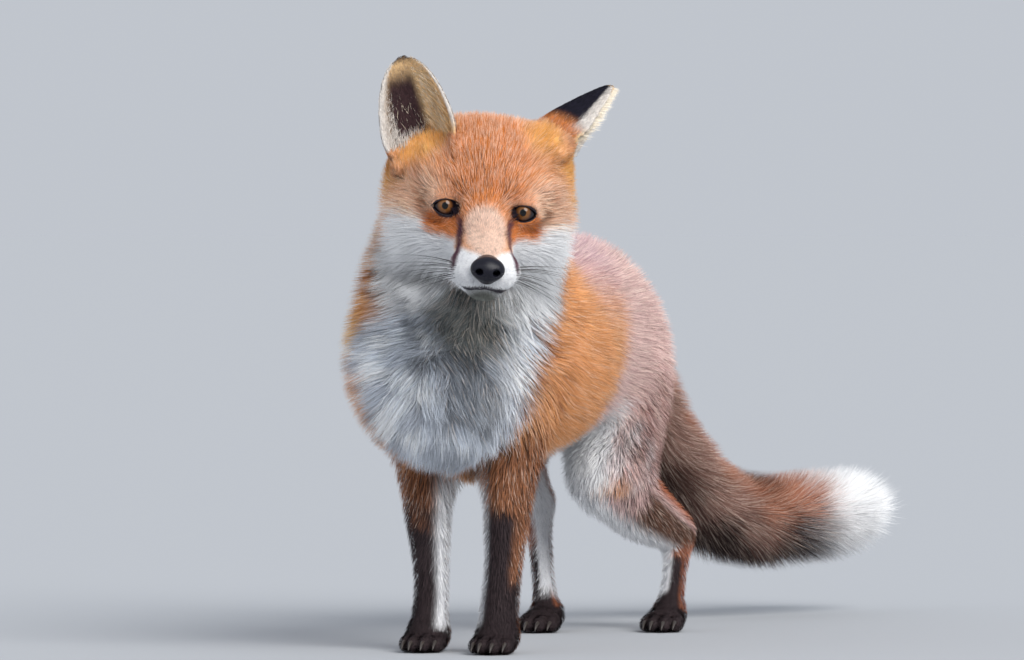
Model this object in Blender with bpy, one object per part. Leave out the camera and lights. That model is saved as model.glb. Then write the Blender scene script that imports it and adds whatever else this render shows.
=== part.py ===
"""A red fox standing still with its head turned to its left: a life-size museum model.

Metres, +Z up. The fox faces -Y, its left side is +X, and the floor is z = 0. The body, out to the
tips of its coat, is described by forms: chains of stations along the bones, each station with a half
width and a half height. The forms melt into one body, which is then parted by thin cuts into the
parts that a person would name.
"""

import math

import bmesh
import bpy
import numpy as np
import openvdb
from mathutils import Euler, Matrix, Vector

# ---------------------------------------------------------------- driving sizes

CELL = 0.003                # spacing of the grid for the trunk and legs; the rest has half of it
SPACE_LOW = (-0.12, -0.13, -0.02)               # the space that the fox stands in
SPACE_HIGH = (0.20, 0.84, 0.46)
SOFTENING = 2               # rounds of averaging that take the seams out of the trunk's forms
GAP = 0.0003                # every two parts are parted by this much
FLOOR = 0.004               # the height of the soles, in the frame that the forms are given in
HEAD_TRIANGLES = 1750       # left on the head before it is parted
BODY_TRIANGLES = 2450       # and on the rest
SPAN_STEPS = 5              # pieces that the way between two stations is cut into
REACH = 0.04                # how far round a form its field is worked out
FAR = 1.0                   # the field's value where no form is near
SHARP_FROM = math.radians(40)                   # edges that turn by more than this are left sharp

STANDS_AT = Vector((0.0266, 0.3567, FLOOR))     # the middle of the floor below the fox
EYE_MIDDLE = Vector((0.082, -0.008, 0.327))     # the point midway between the eyes
HEAD_YAW = math.radians(27.8)                   # the head is turned to the fox's left,
HEAD_PITCH = math.radians(11.0)                 # its nose is lowered,
HEAD_ROLL = math.radians(5.3)                   # and it is tilted towards its left side

# In the head's frame, for the left eye.
EYE_RADIUS = 0.0098
EYE_CENTRE = (0.0283, 0.0072, 0.0006)
LID_CENTRE = (0.0285, -0.0060, 0.0006)            # the middle of the opening between the lids
LID_OPENING = (0.0080, 0.0100, 0.0058)          # and its half sizes
ROUNDNESS = dict(segments=16, ring_count=10)    # the facets of an eye and of its socket

HEAD_PLACE = (
    Matrix.Translation(EYE_MIDDLE)
    @ Matrix.Rotation(HEAD_YAW, 4, "Z")
    @ Matrix.Rotation(HEAD_PITCH, 4, "X")
    @ Matrix.Rotation(HEAD_ROLL, 4, "Y")
)

# ---------------------------------------------------------------- the forms of the flesh
# A station is x, y, z, half width and half height. `side` is the way that a width is measured, and
# `blend` is how close two surfaces are where the fillet between them starts.

SIDEWAYS = (1.0, 0.0, 0.0)

BODY_FORMS = {
    "trunk": dict(
        side=SIDEWAYS,
        blend=0.0,
        stations=(
            (0.018, 0.057, 0.203, 0.062, 0.066),
            (0.010, 0.108, 0.214, 0.074, 0.086),
            (0.006, 0.199, 0.224, 0.076, 0.088),
            (-0.003, 0.300, 0.232, 0.066, 0.082),
            (-0.015, 0.390, 0.226, 0.063, 0.082),
            (-0.022, 0.445, 0.209, 0.054, 0.063),
        ),
    ),
    "nape": dict(
        side=SIDEWAYS,
        blend=0.04,
        stations=(
            (0.049, 0.055, 0.322, 0.056, 0.054),
            (0.030, 0.098, 0.290, 0.060, 0.058),
            (0.012, 0.150, 0.248, 0.062, 0.060),
        ),
    ),
    "ruff": dict(
        side=SIDEWAYS,
        blend=0.04,
        stations=(
            (0.046, 0.050, 0.300, 0.068, 0.052),
            (0.032, 0.056, 0.265, 0.073, 0.056),
            (0.022, 0.066, 0.225, 0.072, 0.060),
        ),
    ),
    "front_leg_left": dict(
        side=SIDEWAYS,
        blend=0.025,
        stations=(
            (0.050, 0.112, 0.200, 0.030, 0.038),
            (0.052, 0.108, 0.160, 0.027, 0.030),
            (0.0536, 0.097, 0.1155, 0.0205, 0.022),
            (0.0529, 0.091, 0.0715, 0.0158, 0.017),
            (0.0513, 0.088, 0.042, 0.0155, 0.0165),
            (0.0520, 0.082, 0.018, 0.0165, 0.016),
        ),
    ),
    "front_leg_right": dict(
        side=SIDEWAYS,
        blend=0.025,
        stations=(
            (-0.018, 0.118, 0.200, 0.030, 0.038),
            (-0.017, 0.112, 0.160, 0.027, 0.030),
            (-0.0121, 0.099, 0.1155, 0.0205, 0.022),
            (-0.0074, 0.0945, 0.0715, 0.0150, 0.0165),
            (-0.0068, 0.0940, 0.042, 0.0140, 0.016),
            (-0.0065, 0.088, 0.018, 0.0160, 0.016),
        ),
    ),
    "thigh_left": dict(
        side=SIDEWAYS,
        blend=0.03,
        stations=(
            (0.000, 0.420, 0.232, 0.030, 0.050),
            (0.014, 0.405, 0.195, 0.033, 0.052),
            (0.021, 0.376, 0.155, 0.033, 0.047),
            (0.021, 0.350, 0.130, 0.028, 0.034),
        ),
    ),
    "thigh_right": dict(
        side=SIDEWAYS,
        blend=0.03,
        stations=(
            (-0.040, 0.420, 0.232, 0.030, 0.050),
            (-0.052, 0.398, 0.205, 0.032, 0.052),
            (-0.058, 0.362, 0.176, 0.031, 0.045),
            (-0.059, 0.330, 0.158, 0.027, 0.033),
        ),
    ),
    "shank_left": dict(
        side=SIDEWAYS,
        blend=0.02,
        stations=(
            (0.021, 0.352, 0.128, 0.027, 0.033),
            (0.026, 0.406, 0.101, 0.023, 0.030),
            (0.0325, 0.468, 0.080, 0.0140, 0.018),
        ),
    ),
    "shank_right": dict(
        side=SIDEWAYS,
        blend=0.02,
        stations=(
            (-0.059, 0.332, 0.156, 0.026, 0.032),
            (-0.061, 0.374, 0.130, 0.020, 0.027),
            (-0.062, 0.412, 0.103, 0.0140, 0.018),
        ),
    ),
    "hind_foot_left": dict(
        side=SIDEWAYS,
        blend=0.01,
        stations=(
            (0.0325, 0.472, 0.078, 0.0125, 0.0150),
            (0.0380, 0.450, 0.048, 0.0105, 0.0130),
            (0.0430, 0.428, 0.020, 0.0115, 0.0130),
        ),
    ),
    "hind_foot_right": dict(
        side=SIDEWAYS,
        blend=0.01,
        stations=(
            (-0.062, 0.412, 0.101, 0.0130, 0.0150),
            (-0.050, 0.394, 0.056, 0.0100, 0.0125),
            (-0.041, 0.382, 0.020, 0.0110, 0.0130),
        ),
    ),
    "tail": dict(
        side=SIDEWAYS,
        blend=0.02,
        stations=(
            (-0.0240, 0.462, 0.236, 0.029, 0.031),
            (-0.0210, 0.503, 0.192, 0.034, 0.036),
            (-0.0160, 0.5285, 0.152, 0.040, 0.040),
            (-0.0055, 0.5605, 0.117, 0.042, 0.042),
            (0.0055, 0.598, 0.093, 0.042, 0.042),
            (0.0230, 0.650, 0.082, 0.041, 0.041),
            (0.0458, 0.704, 0.083, 0.043, 0.043),
            (0.0590, 0.738, 0.086, 0.042, 0.042),
            (0.0690, 0.763, 0.089, 0.034, 0.034),
        ),
    ),
}

# The forms of the head stand in its own frame, whose origin is midway between the eyes.
HEAD_FORMS = {
    "cranium": dict(
        side=SIDEWAYS,
        blend=0.03,
        stations=(
            (0.0, 0.036, 0.012, 0.042, 0.038),
            (0.0, 0.062, 0.014, 0.048, 0.044),
        ),
    ),
    "crown": dict(
        side=(0.0, 1.0, 0.0),
        blend=0.012,
        stations=(
            (-0.022, 0.058, 0.031, 0.028, 0.028),
            (0.026, 0.052, 0.034, 0.030, 0.028),
        ),
    ),
    "ear_root_right": dict(
        side=SIDEWAYS,
        blend=0.014,
        stations=(
            (-0.044, 0.052, 0.008, 0.024, 0.022),
            (-0.0595, 0.047, 0.017, 0.0090, 0.0110),
        ),
    ),
    "ear_root_left": dict(
        side=SIDEWAYS,
        blend=0.016,
        stations=(
            (0.038, 0.044, 0.028, 0.020, 0.022),
            (0.055, 0.046, 0.048, 0.011, 0.012),
        ),
    ),
    "forehead": dict(
        side=SIDEWAYS,
        blend=0.016,
        stations=(
            (0.0, 0.030, 0.014, 0.036, 0.032),
            (0.0, 0.012, -0.002, 0.025, 0.023),
            (0.0, -0.012, -0.012, 0.0165, 0.016),
        ),
    ),
    "muzzle": dict(
        side=SIDEWAYS,
        blend=0.012,
        stations=(
            (0.0, 0.006, -0.023, 0.0265, 0.021),
            (0.0, -0.026, -0.024, 0.0210, 0.0175),
            (0.0, -0.056, -0.026, 0.0178, 0.0145),
            (0.0, -0.073, -0.0275, 0.0135, 0.0125),
        ),
    ),
    "nose": dict(
        side=SIDEWAYS,
        blend=0.004,
        stations=(
            (0.0, -0.073, -0.0250, 0.0106, 0.0085),
            (0.0, -0.0790, -0.0258, 0.0108, 0.0088),
        ),
    ),
    "lower_jaw": dict(
        side=SIDEWAYS,
        blend=0.009,
        stations=(
            (0.0, -0.063, -0.0445, 0.0115, 0.0085),
            (0.0, -0.030, -0.0440, 0.0180, 0.0115),
            (0.0, 0.010, -0.0420, 0.0270, 0.0190),
        ),
    ),
}

# The forms of the head that come in pairs, given for the left side.
HEAD_PAIRS = {
    "temple": dict(
        side=SIDEWAYS,
        blend=0.014,
        stations=(
            (0.034, 0.040, 0.010, 0.028, 0.028),
            (0.040, 0.058, 0.008, 0.031, 0.036),
        ),
    ),
    "cheek": dict(
        side=SIDEWAYS,
        blend=0.020,
        stations=(
            (0.024, 0.021, -0.019, 0.021, 0.023),
            (0.037, 0.046, -0.018, 0.032, 0.038),
        ),
    ),
    "brow": dict(
        side=SIDEWAYS,
        blend=0.010,
        stations=(
            (0.017, 0.006, 0.014, 0.010, 0.010),
            (0.034, 0.020, 0.014, 0.013, 0.012),
        ),
    ),
    "whisker_pad": dict(
        side=SIDEWAYS,
        blend=0.011,
        stations=(
            (0.0105, -0.066, -0.0335, 0.0105, 0.0092),
            (0.0150, -0.046, -0.0335, 0.0120, 0.0100),
        ),
    ),
}

# An ear is a leaf with a hollow front. Its frame stands at the middle of its base: `along` runs to
# the tip, `facing` is where the hollow looks, both in the head's frame.
EARS = {
    "ear_right": dict(
        base=(-0.0440, 0.038, 0.034),
        along=(-0.024, 0.012, 0.066),
        facing=(-0.22, -0.95, 0.05),
        length=0.0695,
        half_width=0.0275,
        hollow=0.024,
        waist=0.16,
    ),
    "ear_left": dict(
        base=(0.046, 0.050, 0.044),
        along=(0.044, 0.034, 0.042),
        facing=(0.72, -0.35, -0.60),
        length=0.068,
        half_width=0.027,
        hollow=0.036,
        waist=0.50,
    ),
}
EAR_THICKNESS = 0.0046
EAR_THINNING = 0.45         # the share of its thickness that an ear loses up to its tip
EAR_POINT = 2.6             # the power of the curve of its edges: 2 is an ellipse, 1 a triangle
EAR_TAPER = 0.08            # the share of its width that it loses beside that
EAR_LEAST_WIDTH = 0.1       # its width at the tip, as a share of its greatest width
EAR_WIDEST = 0.33           # how far up an ear has its full width: below, its waist is left off
EAR_OPENING = 0.6           # the share of its hollow that it loses up to its tip
EAR_SET_BACK = 0.55         # the share of its hollow that lies behind its axis
EAR_ROOT = 0.15             # how far its leaf runs down into the head, as a share of its length
EAR_REACH = 0.075           # how far round an ear's middle its field is worked out
EAR_BLEND = 0.012
EAR_CUT = 0.017             # how far above its base an ear is parted from the head,
EAR_BOX = (0.050, 0.045, 0.050)                 # with a box of these half sizes

# A paw's frame stands on the floor below its ball, with its toes towards -y.
PAW_FORMS = {
    "ball": dict(
        side=SIDEWAYS,
        blend=0.010,
        stations=(
            (0.0, 0.016, 0.0125, 0.0135, 0.0125),
            (0.0, -0.004, 0.0105, 0.0165, 0.0110),
        ),
    ),
    "toe_1": dict(
        side=SIDEWAYS,
        blend=0.003,
        stations=(
            (-0.0115, -0.004, 0.0085, 0.0065, 0.0080),
            (-0.0125, -0.017, 0.0065, 0.0062, 0.0070),
        ),
    ),
    "toe_2": dict(
        side=SIDEWAYS,
        blend=0.003,
        stations=(
            (-0.0042, -0.008, 0.0095, 0.0065, 0.0085),
            (-0.0048, -0.025, 0.0068, 0.0062, 0.0072),
        ),
    ),
    "toe_3": dict(
        side=SIDEWAYS,
        blend=0.003,
        stations=(
            (0.0042, -0.008, 0.0095, 0.0065, 0.0085),
            (0.0048, -0.025, 0.0068, 0.0062, 0.0072),
        ),
    ),
    "toe_4": dict(
        side=SIDEWAYS,
        blend=0.003,
        stations=(
            (0.0115, -0.004, 0.0085, 0.0065, 0.0080),
            (0.0125, -0.017, 0.0065, 0.0062, 0.0070),
        ),
    ),
}

PAW_SIZE = 0.94

# Where each paw stands: x, y and the turn of its toes to the fox's left.
PAWS = {
    "front_left": (0.0530, 0.0770, math.radians(9)),
    "front_right": (-0.0055, 0.0830, math.radians(9)),
    "hind_left": (0.0445, 0.4160, math.radians(10)),
    "hind_right": (-0.0385, 0.3700, math.radians(6)),
}

# ---------------------------------------------------------------- fields of distance


def smooth_stations(stations):
    """The stations with more put between them, on a smooth curve through them all."""
    rows = [np.array(row) for row in stations]
    rows = [2 * rows[0] - rows[1]] + rows + [2 * rows[-1] - rows[-2]]
    smooth = []
    for a, b, c, d in zip(rows, rows[1:], rows[2:], rows[3:]):
        for step in range(SPAN_STEPS):
            t = step / SPAN_STEPS
            smooth.append(
                b
                + (c - a) * t / 2
                + (2 * a - 5 * b + 4 * c - d) * t**2 / 2
                + (3 * b - a - 3 * c + d) * t**3 / 2
            )
    smooth.append(rows[-2])
    return smooth


def unit(vector):
    return np.asarray(vector, float) / np.linalg.norm(vector)


def cone_field(points, start, end, side):
    """The distance to an oval cone between two stations, less than zero inside it."""
    axis = end[:3] - start[:3]
    length = np.linalg.norm(axis)
    ahead = axis / length
    across = unit(side - np.dot(side, ahead) * ahead)
    upward = np.cross(ahead, across)
    offset = points - start[:3].astype(np.float32)
    share = np.clip(offset @ ahead.astype(np.float32) / length, 0, 1)
    offset = offset - share[..., None] * axis.astype(np.float32)
    half_width = start[3] + (end[3] - start[3]) * share
    half_height = start[4] + (end[4] - start[4]) * share
    half_length = np.minimum(half_width, half_height)
    parts = (
        (offset @ across.astype(np.float32), half_width),
        (offset @ upward.astype(np.float32), half_height),
        (offset @ ahead.astype(np.float32), half_length),
    )
    scaled = np.sqrt(sum((part / radius) ** 2 for part, radius in parts))
    steep = np.sqrt(sum((part / radius**2) ** 2 for part, radius in parts))
    return scaled * (scaled - 1) / np.maximum(steep, 1e-4)


def melted(first, second, blend):
    """The union of two fields, with a fillet that starts where they are `blend` apart."""
    lower = np.minimum(first, second)
    if blend == 0:
        return lower
    close = np.maximum(blend - np.abs(first - second), 0)
    return lower - close**2 / (4 * blend)


class Grid:
    """A block of space with the field's value at every cell's corner."""

    def __init__(self, cell, first, values):
        self.cell = cell
        self.first = first
        self.values = values

    @classmethod
    def over(cls, low, high, cell):
        first = np.floor(np.asarray(low) / cell).astype(int)
        shape = np.ceil(np.asarray(high) / cell).astype(int) - first + 1
        return cls(cell, first, np.full(shape, FAR, np.float32))

    def window(self, low, high):
        """The slices of the grid between two corners, and the points there."""
        start = np.floor(np.asarray(low) / self.cell).astype(int) - self.first
        stop = np.ceil(np.asarray(high) / self.cell).astype(int) - self.first + 1
        start = np.clip(start, 0, self.values.shape)
        stop = np.clip(stop, 0, self.values.shape)
        ticks = [
            ((np.arange(a, b) + origin) * self.cell).astype(np.float32)
            for a, b, origin in zip(start, stop, self.first)
        ]
        slices = tuple(slice(a, b) for a, b in zip(start, stop))
        return slices, np.stack(np.meshgrid(*ticks, indexing="ij"), axis=-1)

    def soften(self, rounds):
        """Each value becomes the mean of its neighbours along each axis in turn."""
        for _ in range(rounds):
            for axis in range(3):
                values = np.moveaxis(self.values, axis, 0)
                values[1:-1] = (values[:-2] + 2 * values[1:-1] + values[2:]) / 4

    def finer(self):
        """The same field on a grid of half the spacing."""
        values = self.values
        for axis in range(3):
            rough = np.moveaxis(values, axis, 0)
            fine = np.empty((2 * len(rough) - 1, *rough.shape[1:]), np.float32)
            fine[::2] = rough
            fine[1::2] = (rough[:-1] + rough[1:]) / 2
            values = np.moveaxis(fine, 0, axis)
        return Grid(self.cell / 2, self.first * 2, np.ascontiguousarray(values))

    def add(self, form, place=None):
        """Melts a form into the field."""
        stations = smooth_stations(form["stations"])
        side = np.array(form["side"])
        if place is not None:
            turn = np.array(place.to_3x3())
            spot = np.array(place.translation)
            size = np.cbrt(abs(np.linalg.det(turn)))
            stations = [np.concatenate([turn @ row[:3] + spot, row[3:] * size]) for row in stations]
            side = turn @ side
        centres = np.array([row[:3] for row in stations])
        size = max(max(row[3], row[4]) for row in stations) + REACH
        slices, _ = self.window(centres.min(axis=0) - size, centres.max(axis=0) + size)
        corner = np.array([part.start for part in slices])
        field = Grid(self.cell, self.first + corner, np.full(self.values[slices].shape, FAR, np.float32))
        for start, end in zip(stations, stations[1:]):
            size = max(start[3], start[4], end[3], end[4]) + REACH
            low = np.minimum(start[:3], end[:3]) - size
            high = np.maximum(start[:3], end[:3]) + size
            near, points = field.window(low, high)
            field.values[near] = np.minimum(field.values[near], cone_field(points, start, end, side))
        self.values[slices] = melted(self.values[slices], field.values, form["blend"])

    def surface(self):
        """The points and faces of the surface where the field is zero."""
        volume = openvdb.FloatGrid(FAR)
        volume.copyFromArray(self.values)
        points, triangles, quads = volume.convertToPolygons(isovalue=0.0, adaptivity=0.0)
        return (points + self.first) * self.cell, triangles, quads


def ear_frame(ear):
    """The matrix from an ear's own frame to the head's: x across it, y its facing, z to the tip."""
    along = Vector(ear["along"]).normalized()
    facing = Vector(ear["facing"])
    facing = (facing - facing.dot(along) * along).normalized()
    turn = Matrix((facing.cross(along), facing, along)).transposed().to_4x4()
    return Matrix.Translation(ear["base"]) @ turn


def ear_field(points, ear):
    """The distance to an ear's leaf."""
    to_ear = np.array((HEAD_PLACE @ ear_frame(ear)).inverted(), np.float32)
    own = points @ to_ear[:3, :3].T + to_ear[:3, 3]
    across, facing, along = own[..., 0], own[..., 1], own[..., 2]
    share = np.clip(along / ear["length"], -EAR_ROOT, 1)
    above = np.maximum(share, 0)
    outline = np.sqrt(np.maximum(1 - above**EAR_POINT, EAR_LEAST_WIDTH**2)) * (1 - EAR_TAPER * above)
    outline *= 1 - ear["waist"] * np.maximum(1 - above / EAR_WIDEST, 0) ** 2
    half_width = ear["half_width"] * outline
    over = np.clip(across, -half_width, half_width)
    hollow = ear["hollow"] * outline * (1 - EAR_OPENING * above)
    leaf = hollow * ((over / half_width) ** 2 - EAR_SET_BACK)
    slope = 2 * hollow * np.abs(over) / half_width**2
    away = (facing - leaf) / np.sqrt(1 + slope**2)
    beyond = along - share * ear["length"]
    half_thickness = EAR_THICKNESS / 2 * (1 - EAR_THINNING * above)
    return np.sqrt((across - over) ** 2 + beyond**2 + away**2) - half_thickness


def paw_place(paw):
    x, y, turn = PAWS[paw]
    return Matrix.Translation((x, y, FLOOR)) @ Matrix.Rotation(turn, 4, "Z") @ Matrix.Scale(PAW_SIZE, 4)


def fox_field():
    """The field of the whole fox."""
    rough = Grid.over(SPACE_LOW, SPACE_HIGH, CELL)
    for form in BODY_FORMS.values():
        rough.add(form)
    rough.soften(SOFTENING)
    fine = rough.finer()
    for form in HEAD_FORMS.values():
        fine.add(form, HEAD_PLACE)
    for form in HEAD_PAIRS.values():
        for side in (1, -1):
            fine.add(form, HEAD_PLACE @ Matrix.Diagonal((side, 1, 1, 1)))
    for paw in PAWS:
        for form in PAW_FORMS.values():
            fine.add(form, paw_place(paw))
    for ear in EARS.values():
        middle = np.array(HEAD_PLACE @ (Vector(ear["base"]) + Vector(ear["along"]) / 2))
        slices, points = fine.window(middle - EAR_REACH, middle + EAR_REACH)
        leaf = ear_field(points, ear)
        fine.values[slices] = melted(fine.values[slices], leaf, EAR_BLEND)
    return fine


# ---------------------------------------------------------------- parting
# A cutter is a box: its middle, its half sizes, the tilt of its +z axis (about x, y and z in degrees)
# and the frame that it stands in. They are cut off in this order, and what is left is the rump.

WORLD = Matrix.Identity(4)


def ear_box(name):
    middle = (0.0, 0.0, EAR_CUT + EAR_BOX[2])
    return middle, EAR_BOX, (0, 0, 0), HEAD_PLACE @ ear_frame(EARS[name])


CUTS = {
    "nose": ((0.0, -0.100, -0.026), (0.02, 0.0195, 0.02), (-8, 0, 0), HEAD_PLACE),
    "ear_right": ear_box("ear_right"),
    "ear_left": ear_box("ear_left"),
    "lower_jaw": ((0.0, -0.046, -0.0545), (0.03, 0.038, 0.0135), (0, 0, 0), HEAD_PLACE),
    "front_foot_left": ((0.052, 0.076, 0.005), (0.032, 0.046, 0.030), (0, 0, 0), WORLD),
    "front_foot_right": ((-0.008, 0.082, 0.005), (0.0275, 0.046, 0.030), (0, 0, 0), WORLD),
    "lower_front_leg_left": ((0.053, 0.094, 0.080), (0.030, 0.05, 0.045), (0, 0, 0), WORLD),
    "lower_front_leg_right": ((-0.012, 0.096, 0.080), (0.0345, 0.05, 0.045), (0, 0, 0), WORLD),
    "upper_front_leg_left": ((0.085, 0.108, 0.172), (0.040, 0.042, 0.0470), (0, 0, 0), WORLD),
    "upper_front_leg_right": ((-0.072, 0.112, 0.172), (0.040, 0.042, 0.0470), (0, 0, 0), WORLD),
    "hind_foot_left": ((0.040, 0.435, 0.010), (0.035, 0.060, 0.054), (0, 0, 0), WORLD),
    "hind_foot_right": ((-0.045, 0.380, 0.030), (0.032, 0.060, 0.056), (0, 0, 0), WORLD),
    "lower_hind_leg_left": ((0.026, 0.420, 0.060), (0.048, 0.095, 0.062), (-22, 0, 0), WORLD),
    "lower_hind_leg_right": ((-0.062, 0.370, 0.090), (0.037, 0.080, 0.055), (-22, 0, 0), WORLD),
    "thigh_left": ((0.055, 0.385, 0.170), (0.050, 0.075, 0.062), (0, 0, 0), WORLD),
    "thigh_right": ((-0.085, 0.375, 0.178), (0.040, 0.080, 0.062), (0, 0, 0), WORLD),
    "tail_tip": ((0.082, 0.775, 0.087), (0.10, 0.060, 0.10), (0, 0, -20), WORLD),
    "tail_end": ((0.050, 0.690, 0.085), (0.12, 0.0775, 0.10), (0, 0, -18), WORLD),
    "tail_base": ((-0.010, 0.590, 0.100), (0.10, 0.150, 0.105), (-41, 0, 0), WORLD),
    "head": ((0.0, -0.040, 0.040), (0.130, 0.112, 0.100), (0, 0, 0), HEAD_PLACE),
    "neck": ((0.030, 0.070, 0.320), (0.130, 0.130, 0.090), (-28, 0, 0), WORLD),
    "chest": ((0.010, 0.030, 0.200), (0.130, 0.125, 0.150), (0, 0, 0), WORLD),
    "barrel": ((0.000, 0.230, 0.210), (0.130, 0.080, 0.150), (0, 0, 0), WORLD),
}

COLOURS = {
    "nose": ((0.012, 0.011, 0.013), 0.30),
    "eye": ((0.20, 0.095, 0.03), 0.05),
    "ear": ((0.10, 0.05, 0.03), 0.85),
    "front_foot": ((0.03, 0.02, 0.018), 0.85),
    "lower_front_leg": ((0.05, 0.03, 0.02), 0.85),
    "tail_tip": ((0.80, 0.78, 0.74), 0.85),
    "chest": ((0.55, 0.52, 0.48), 0.85),
    "": ((0.50, 0.22, 0.07), 0.85),
}


def material_for(name):
    """A material in the colour of the part."""
    colour, roughness = next(look for start, look in COLOURS.items() if name.startswith(start))
    material = bpy.data.materials.new(name)
    material.use_nodes = True
    shader = material.node_tree.nodes["Principled BSDF"]
    shader.inputs["Base Color"].default_value = (*colour, 1.0)
    shader.inputs["Roughness"].default_value = roughness
    return material


# ---------------------------------------------------------------- building

# The block of the head's frame that the head's triangles are counted in: half its width, how far
# back it runs and how far down.
HEAD_BLOCK = (0.12, 0.10, -0.058)


def mesh_object(name, points, triangles, quads):
    mesh = bpy.data.meshes.new(name)
    halves = np.concatenate([triangles, quads[:, [0, 1, 2]], quads[:, [0, 2, 3]]])
    mesh.from_pydata(points, [], halves)
    mesh.flip_normals()
    obj = bpy.data.objects.new(name, mesh)
    bpy.context.scene.collection.objects.link(obj)
    return obj


def applied(obj):
    """Replaces an object's mesh with what its modifiers make of it."""
    graph = bpy.context.evaluated_depsgraph_get()
    mesh = bpy.data.meshes.new_from_object(obj.evaluated_get(graph))
    obj.modifiers.clear()
    obj.data = mesh
    return obj


def in_head(point):
    """Whether a point in the head's frame belongs to the head."""
    half_width, back, bottom = HEAD_BLOCK
    return abs(point.x) < half_width and point.y < back and point.z > bottom


def thin_out(obj, chosen, triangles):
    """Takes triangles away round the chosen points until that many are left in all."""
    group = obj.vertex_groups.new(name="thinned")
    group.add(chosen, 1.0, "REPLACE")
    decimate = obj.modifiers.new("thin_out", "DECIMATE")
    decimate.vertex_group = group.name
    decimate.ratio = triangles / len(obj.data.polygons)
    applied(obj)
    obj.vertex_groups.clear()


def thin_out_fox(obj):
    to_head = HEAD_PLACE.inverted()
    for thin_head in (False, True):
        head = [in_head(to_head @ v.co) for v in obj.data.vertices]
        on_head = sum(all(head[i] for i in face.vertices) for face in obj.data.polygons)
        chosen = [index for index, on in enumerate(head) if on == thin_head]
        wanted = HEAD_TRIANGLES if thin_head else on_head
        thin_out(obj, chosen, wanted + BODY_TRIANGLES)


def box_cutter(name, cut, grown):
    middle, half, tilt, frame = cut
    bpy.ops.mesh.primitive_cube_add(size=2)
    cutter = bpy.context.object
    cutter.name = name
    turn = Euler([math.radians(angle) for angle in tilt]).to_matrix().to_4x4()
    size = Matrix.Diagonal([side + grown for side in half]).to_4x4()
    cutter.data.transform(frame @ Matrix.Translation(middle) @ turn @ size)
    return cutter


def boolean(obj, cutter, operation):
    modifier = obj.modifiers.new(operation, "BOOLEAN")
    modifier.object = cutter
    modifier.operation = operation
    modifier.solver = "EXACT"
    return applied(obj)


def largest_body(obj):
    """Drops the crumbs that a cut leaves."""
    whole = bmesh.new()
    whole.from_mesh(obj.data)
    bodies = []
    left = set(whole.verts)
    while left:
        body = set()
        edge = [left.pop()]
        while edge:
            vertex = edge.pop()
            body.add(vertex)
            for link in vertex.link_edges:
                other = link.other_vert(vertex)
                if other in left:
                    left.remove(other)
                    edge.append(other)
        bodies.append(body)
    keep = max(bodies, key=len)
    bmesh.ops.delete(whole, geom=[v for v in whole.verts if v not in keep], context="VERTS")
    whole.to_mesh(obj.data)
    whole.free()
    return obj


def part_off(rest, name, cut):
    """Cuts one part off the rest of the body, with a gap between them."""
    part = rest.copy()
    part.data = rest.data.copy()
    part.name = name
    bpy.context.scene.collection.objects.link(part)
    inner = box_cutter(name + "_inner", cut, 0.0)
    outer = box_cutter(name + "_outer", cut, GAP)
    largest_body(boolean(part, inner, "INTERSECT"))
    largest_body(boolean(rest, outer, "DIFFERENCE"))
    bpy.data.objects.remove(inner)
    bpy.data.objects.remove(outer)
    return part


def ball(name, radii, centre):
    """A ball or an egg that stands in the head's frame with its poles fore and aft."""
    bpy.ops.mesh.primitive_uv_sphere_add(radius=1, **ROUNDNESS)
    obj = bpy.context.object
    obj.name = name
    size = Matrix.Diagonal(radii).to_4x4()
    turn = Matrix.Rotation(math.pi / 2, 4, "X")
    obj.data.transform(HEAD_PLACE @ Matrix.Translation(centre) @ size @ turn)
    return obj


def set_in_eye(fox, name, side):
    """Opens the lids and the socket, and returns the eye that lies there."""
    mirror = Vector((side, 1, 1))
    centre = Vector(EYE_CENTRE) * mirror
    eye = ball(name, [EYE_RADIUS] * 3, centre)
    socket = ball(name + "_socket", [EYE_RADIUS + GAP] * 3, centre)
    opening = ball(name + "_opening", LID_OPENING, Vector(LID_CENTRE) * mirror)
    for cutter in (socket, opening):
        boolean(fox, cutter, "DIFFERENCE")
        bpy.data.objects.remove(cutter)
    return eye


def stand_on_floor(fox):
    """Cuts the soles off level."""
    depth = 0.1
    below = ((0.0, 0.4, FLOOR - depth), (1.0, 1.0, depth), (0, 0, 0), WORLD)
    cutter = box_cutter("floor", below, 0.0)
    boolean(fox, cutter, "DIFFERENCE")
    bpy.data.objects.remove(cutter)


def main():
    for obj in list(bpy.data.objects):
        bpy.data.objects.remove(obj)
    fox = mesh_object("rump", *fox_field().surface())
    thin_out_fox(fox)
    stand_on_floor(fox)
    parts = [fox]
    for name, side in (("eye_right", -1), ("eye_left", 1)):
        parts.append(set_in_eye(fox, name, side))
    for name, cut in CUTS.items():
        parts.append(part_off(fox, name, cut))
    red_fox = bpy.data.collections.new("red_fox")
    bpy.context.scene.collection.children.link(red_fox)
    for part in parts:
        for collection in part.users_collection:
            collection.objects.unlink(part)
        red_fox.objects.link(part)
        part.data.transform(Matrix.Translation(-STANDS_AT))
        part.data.materials.clear()
        part.data.materials.append(material_for(part.name))
        part.data.shade_smooth()
        part.data.set_sharp_from_angle(angle=SHARP_FROM)


main()
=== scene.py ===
"""The looks of the red fox model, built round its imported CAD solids.

Metres, +Z up, in the frame of the solids. The flesh is given by the same forms as the solids, each
drawn in by the depth of the coat there, and one skin covers it. The coat is made of tufts: thin
blades that start on the skin, lie along the body and end where the solids end.
"""

import math

import bpy
import numpy as np
import openvdb
from mathutils import Matrix, Vector
from mathutils.kdtree import KDTree


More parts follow.
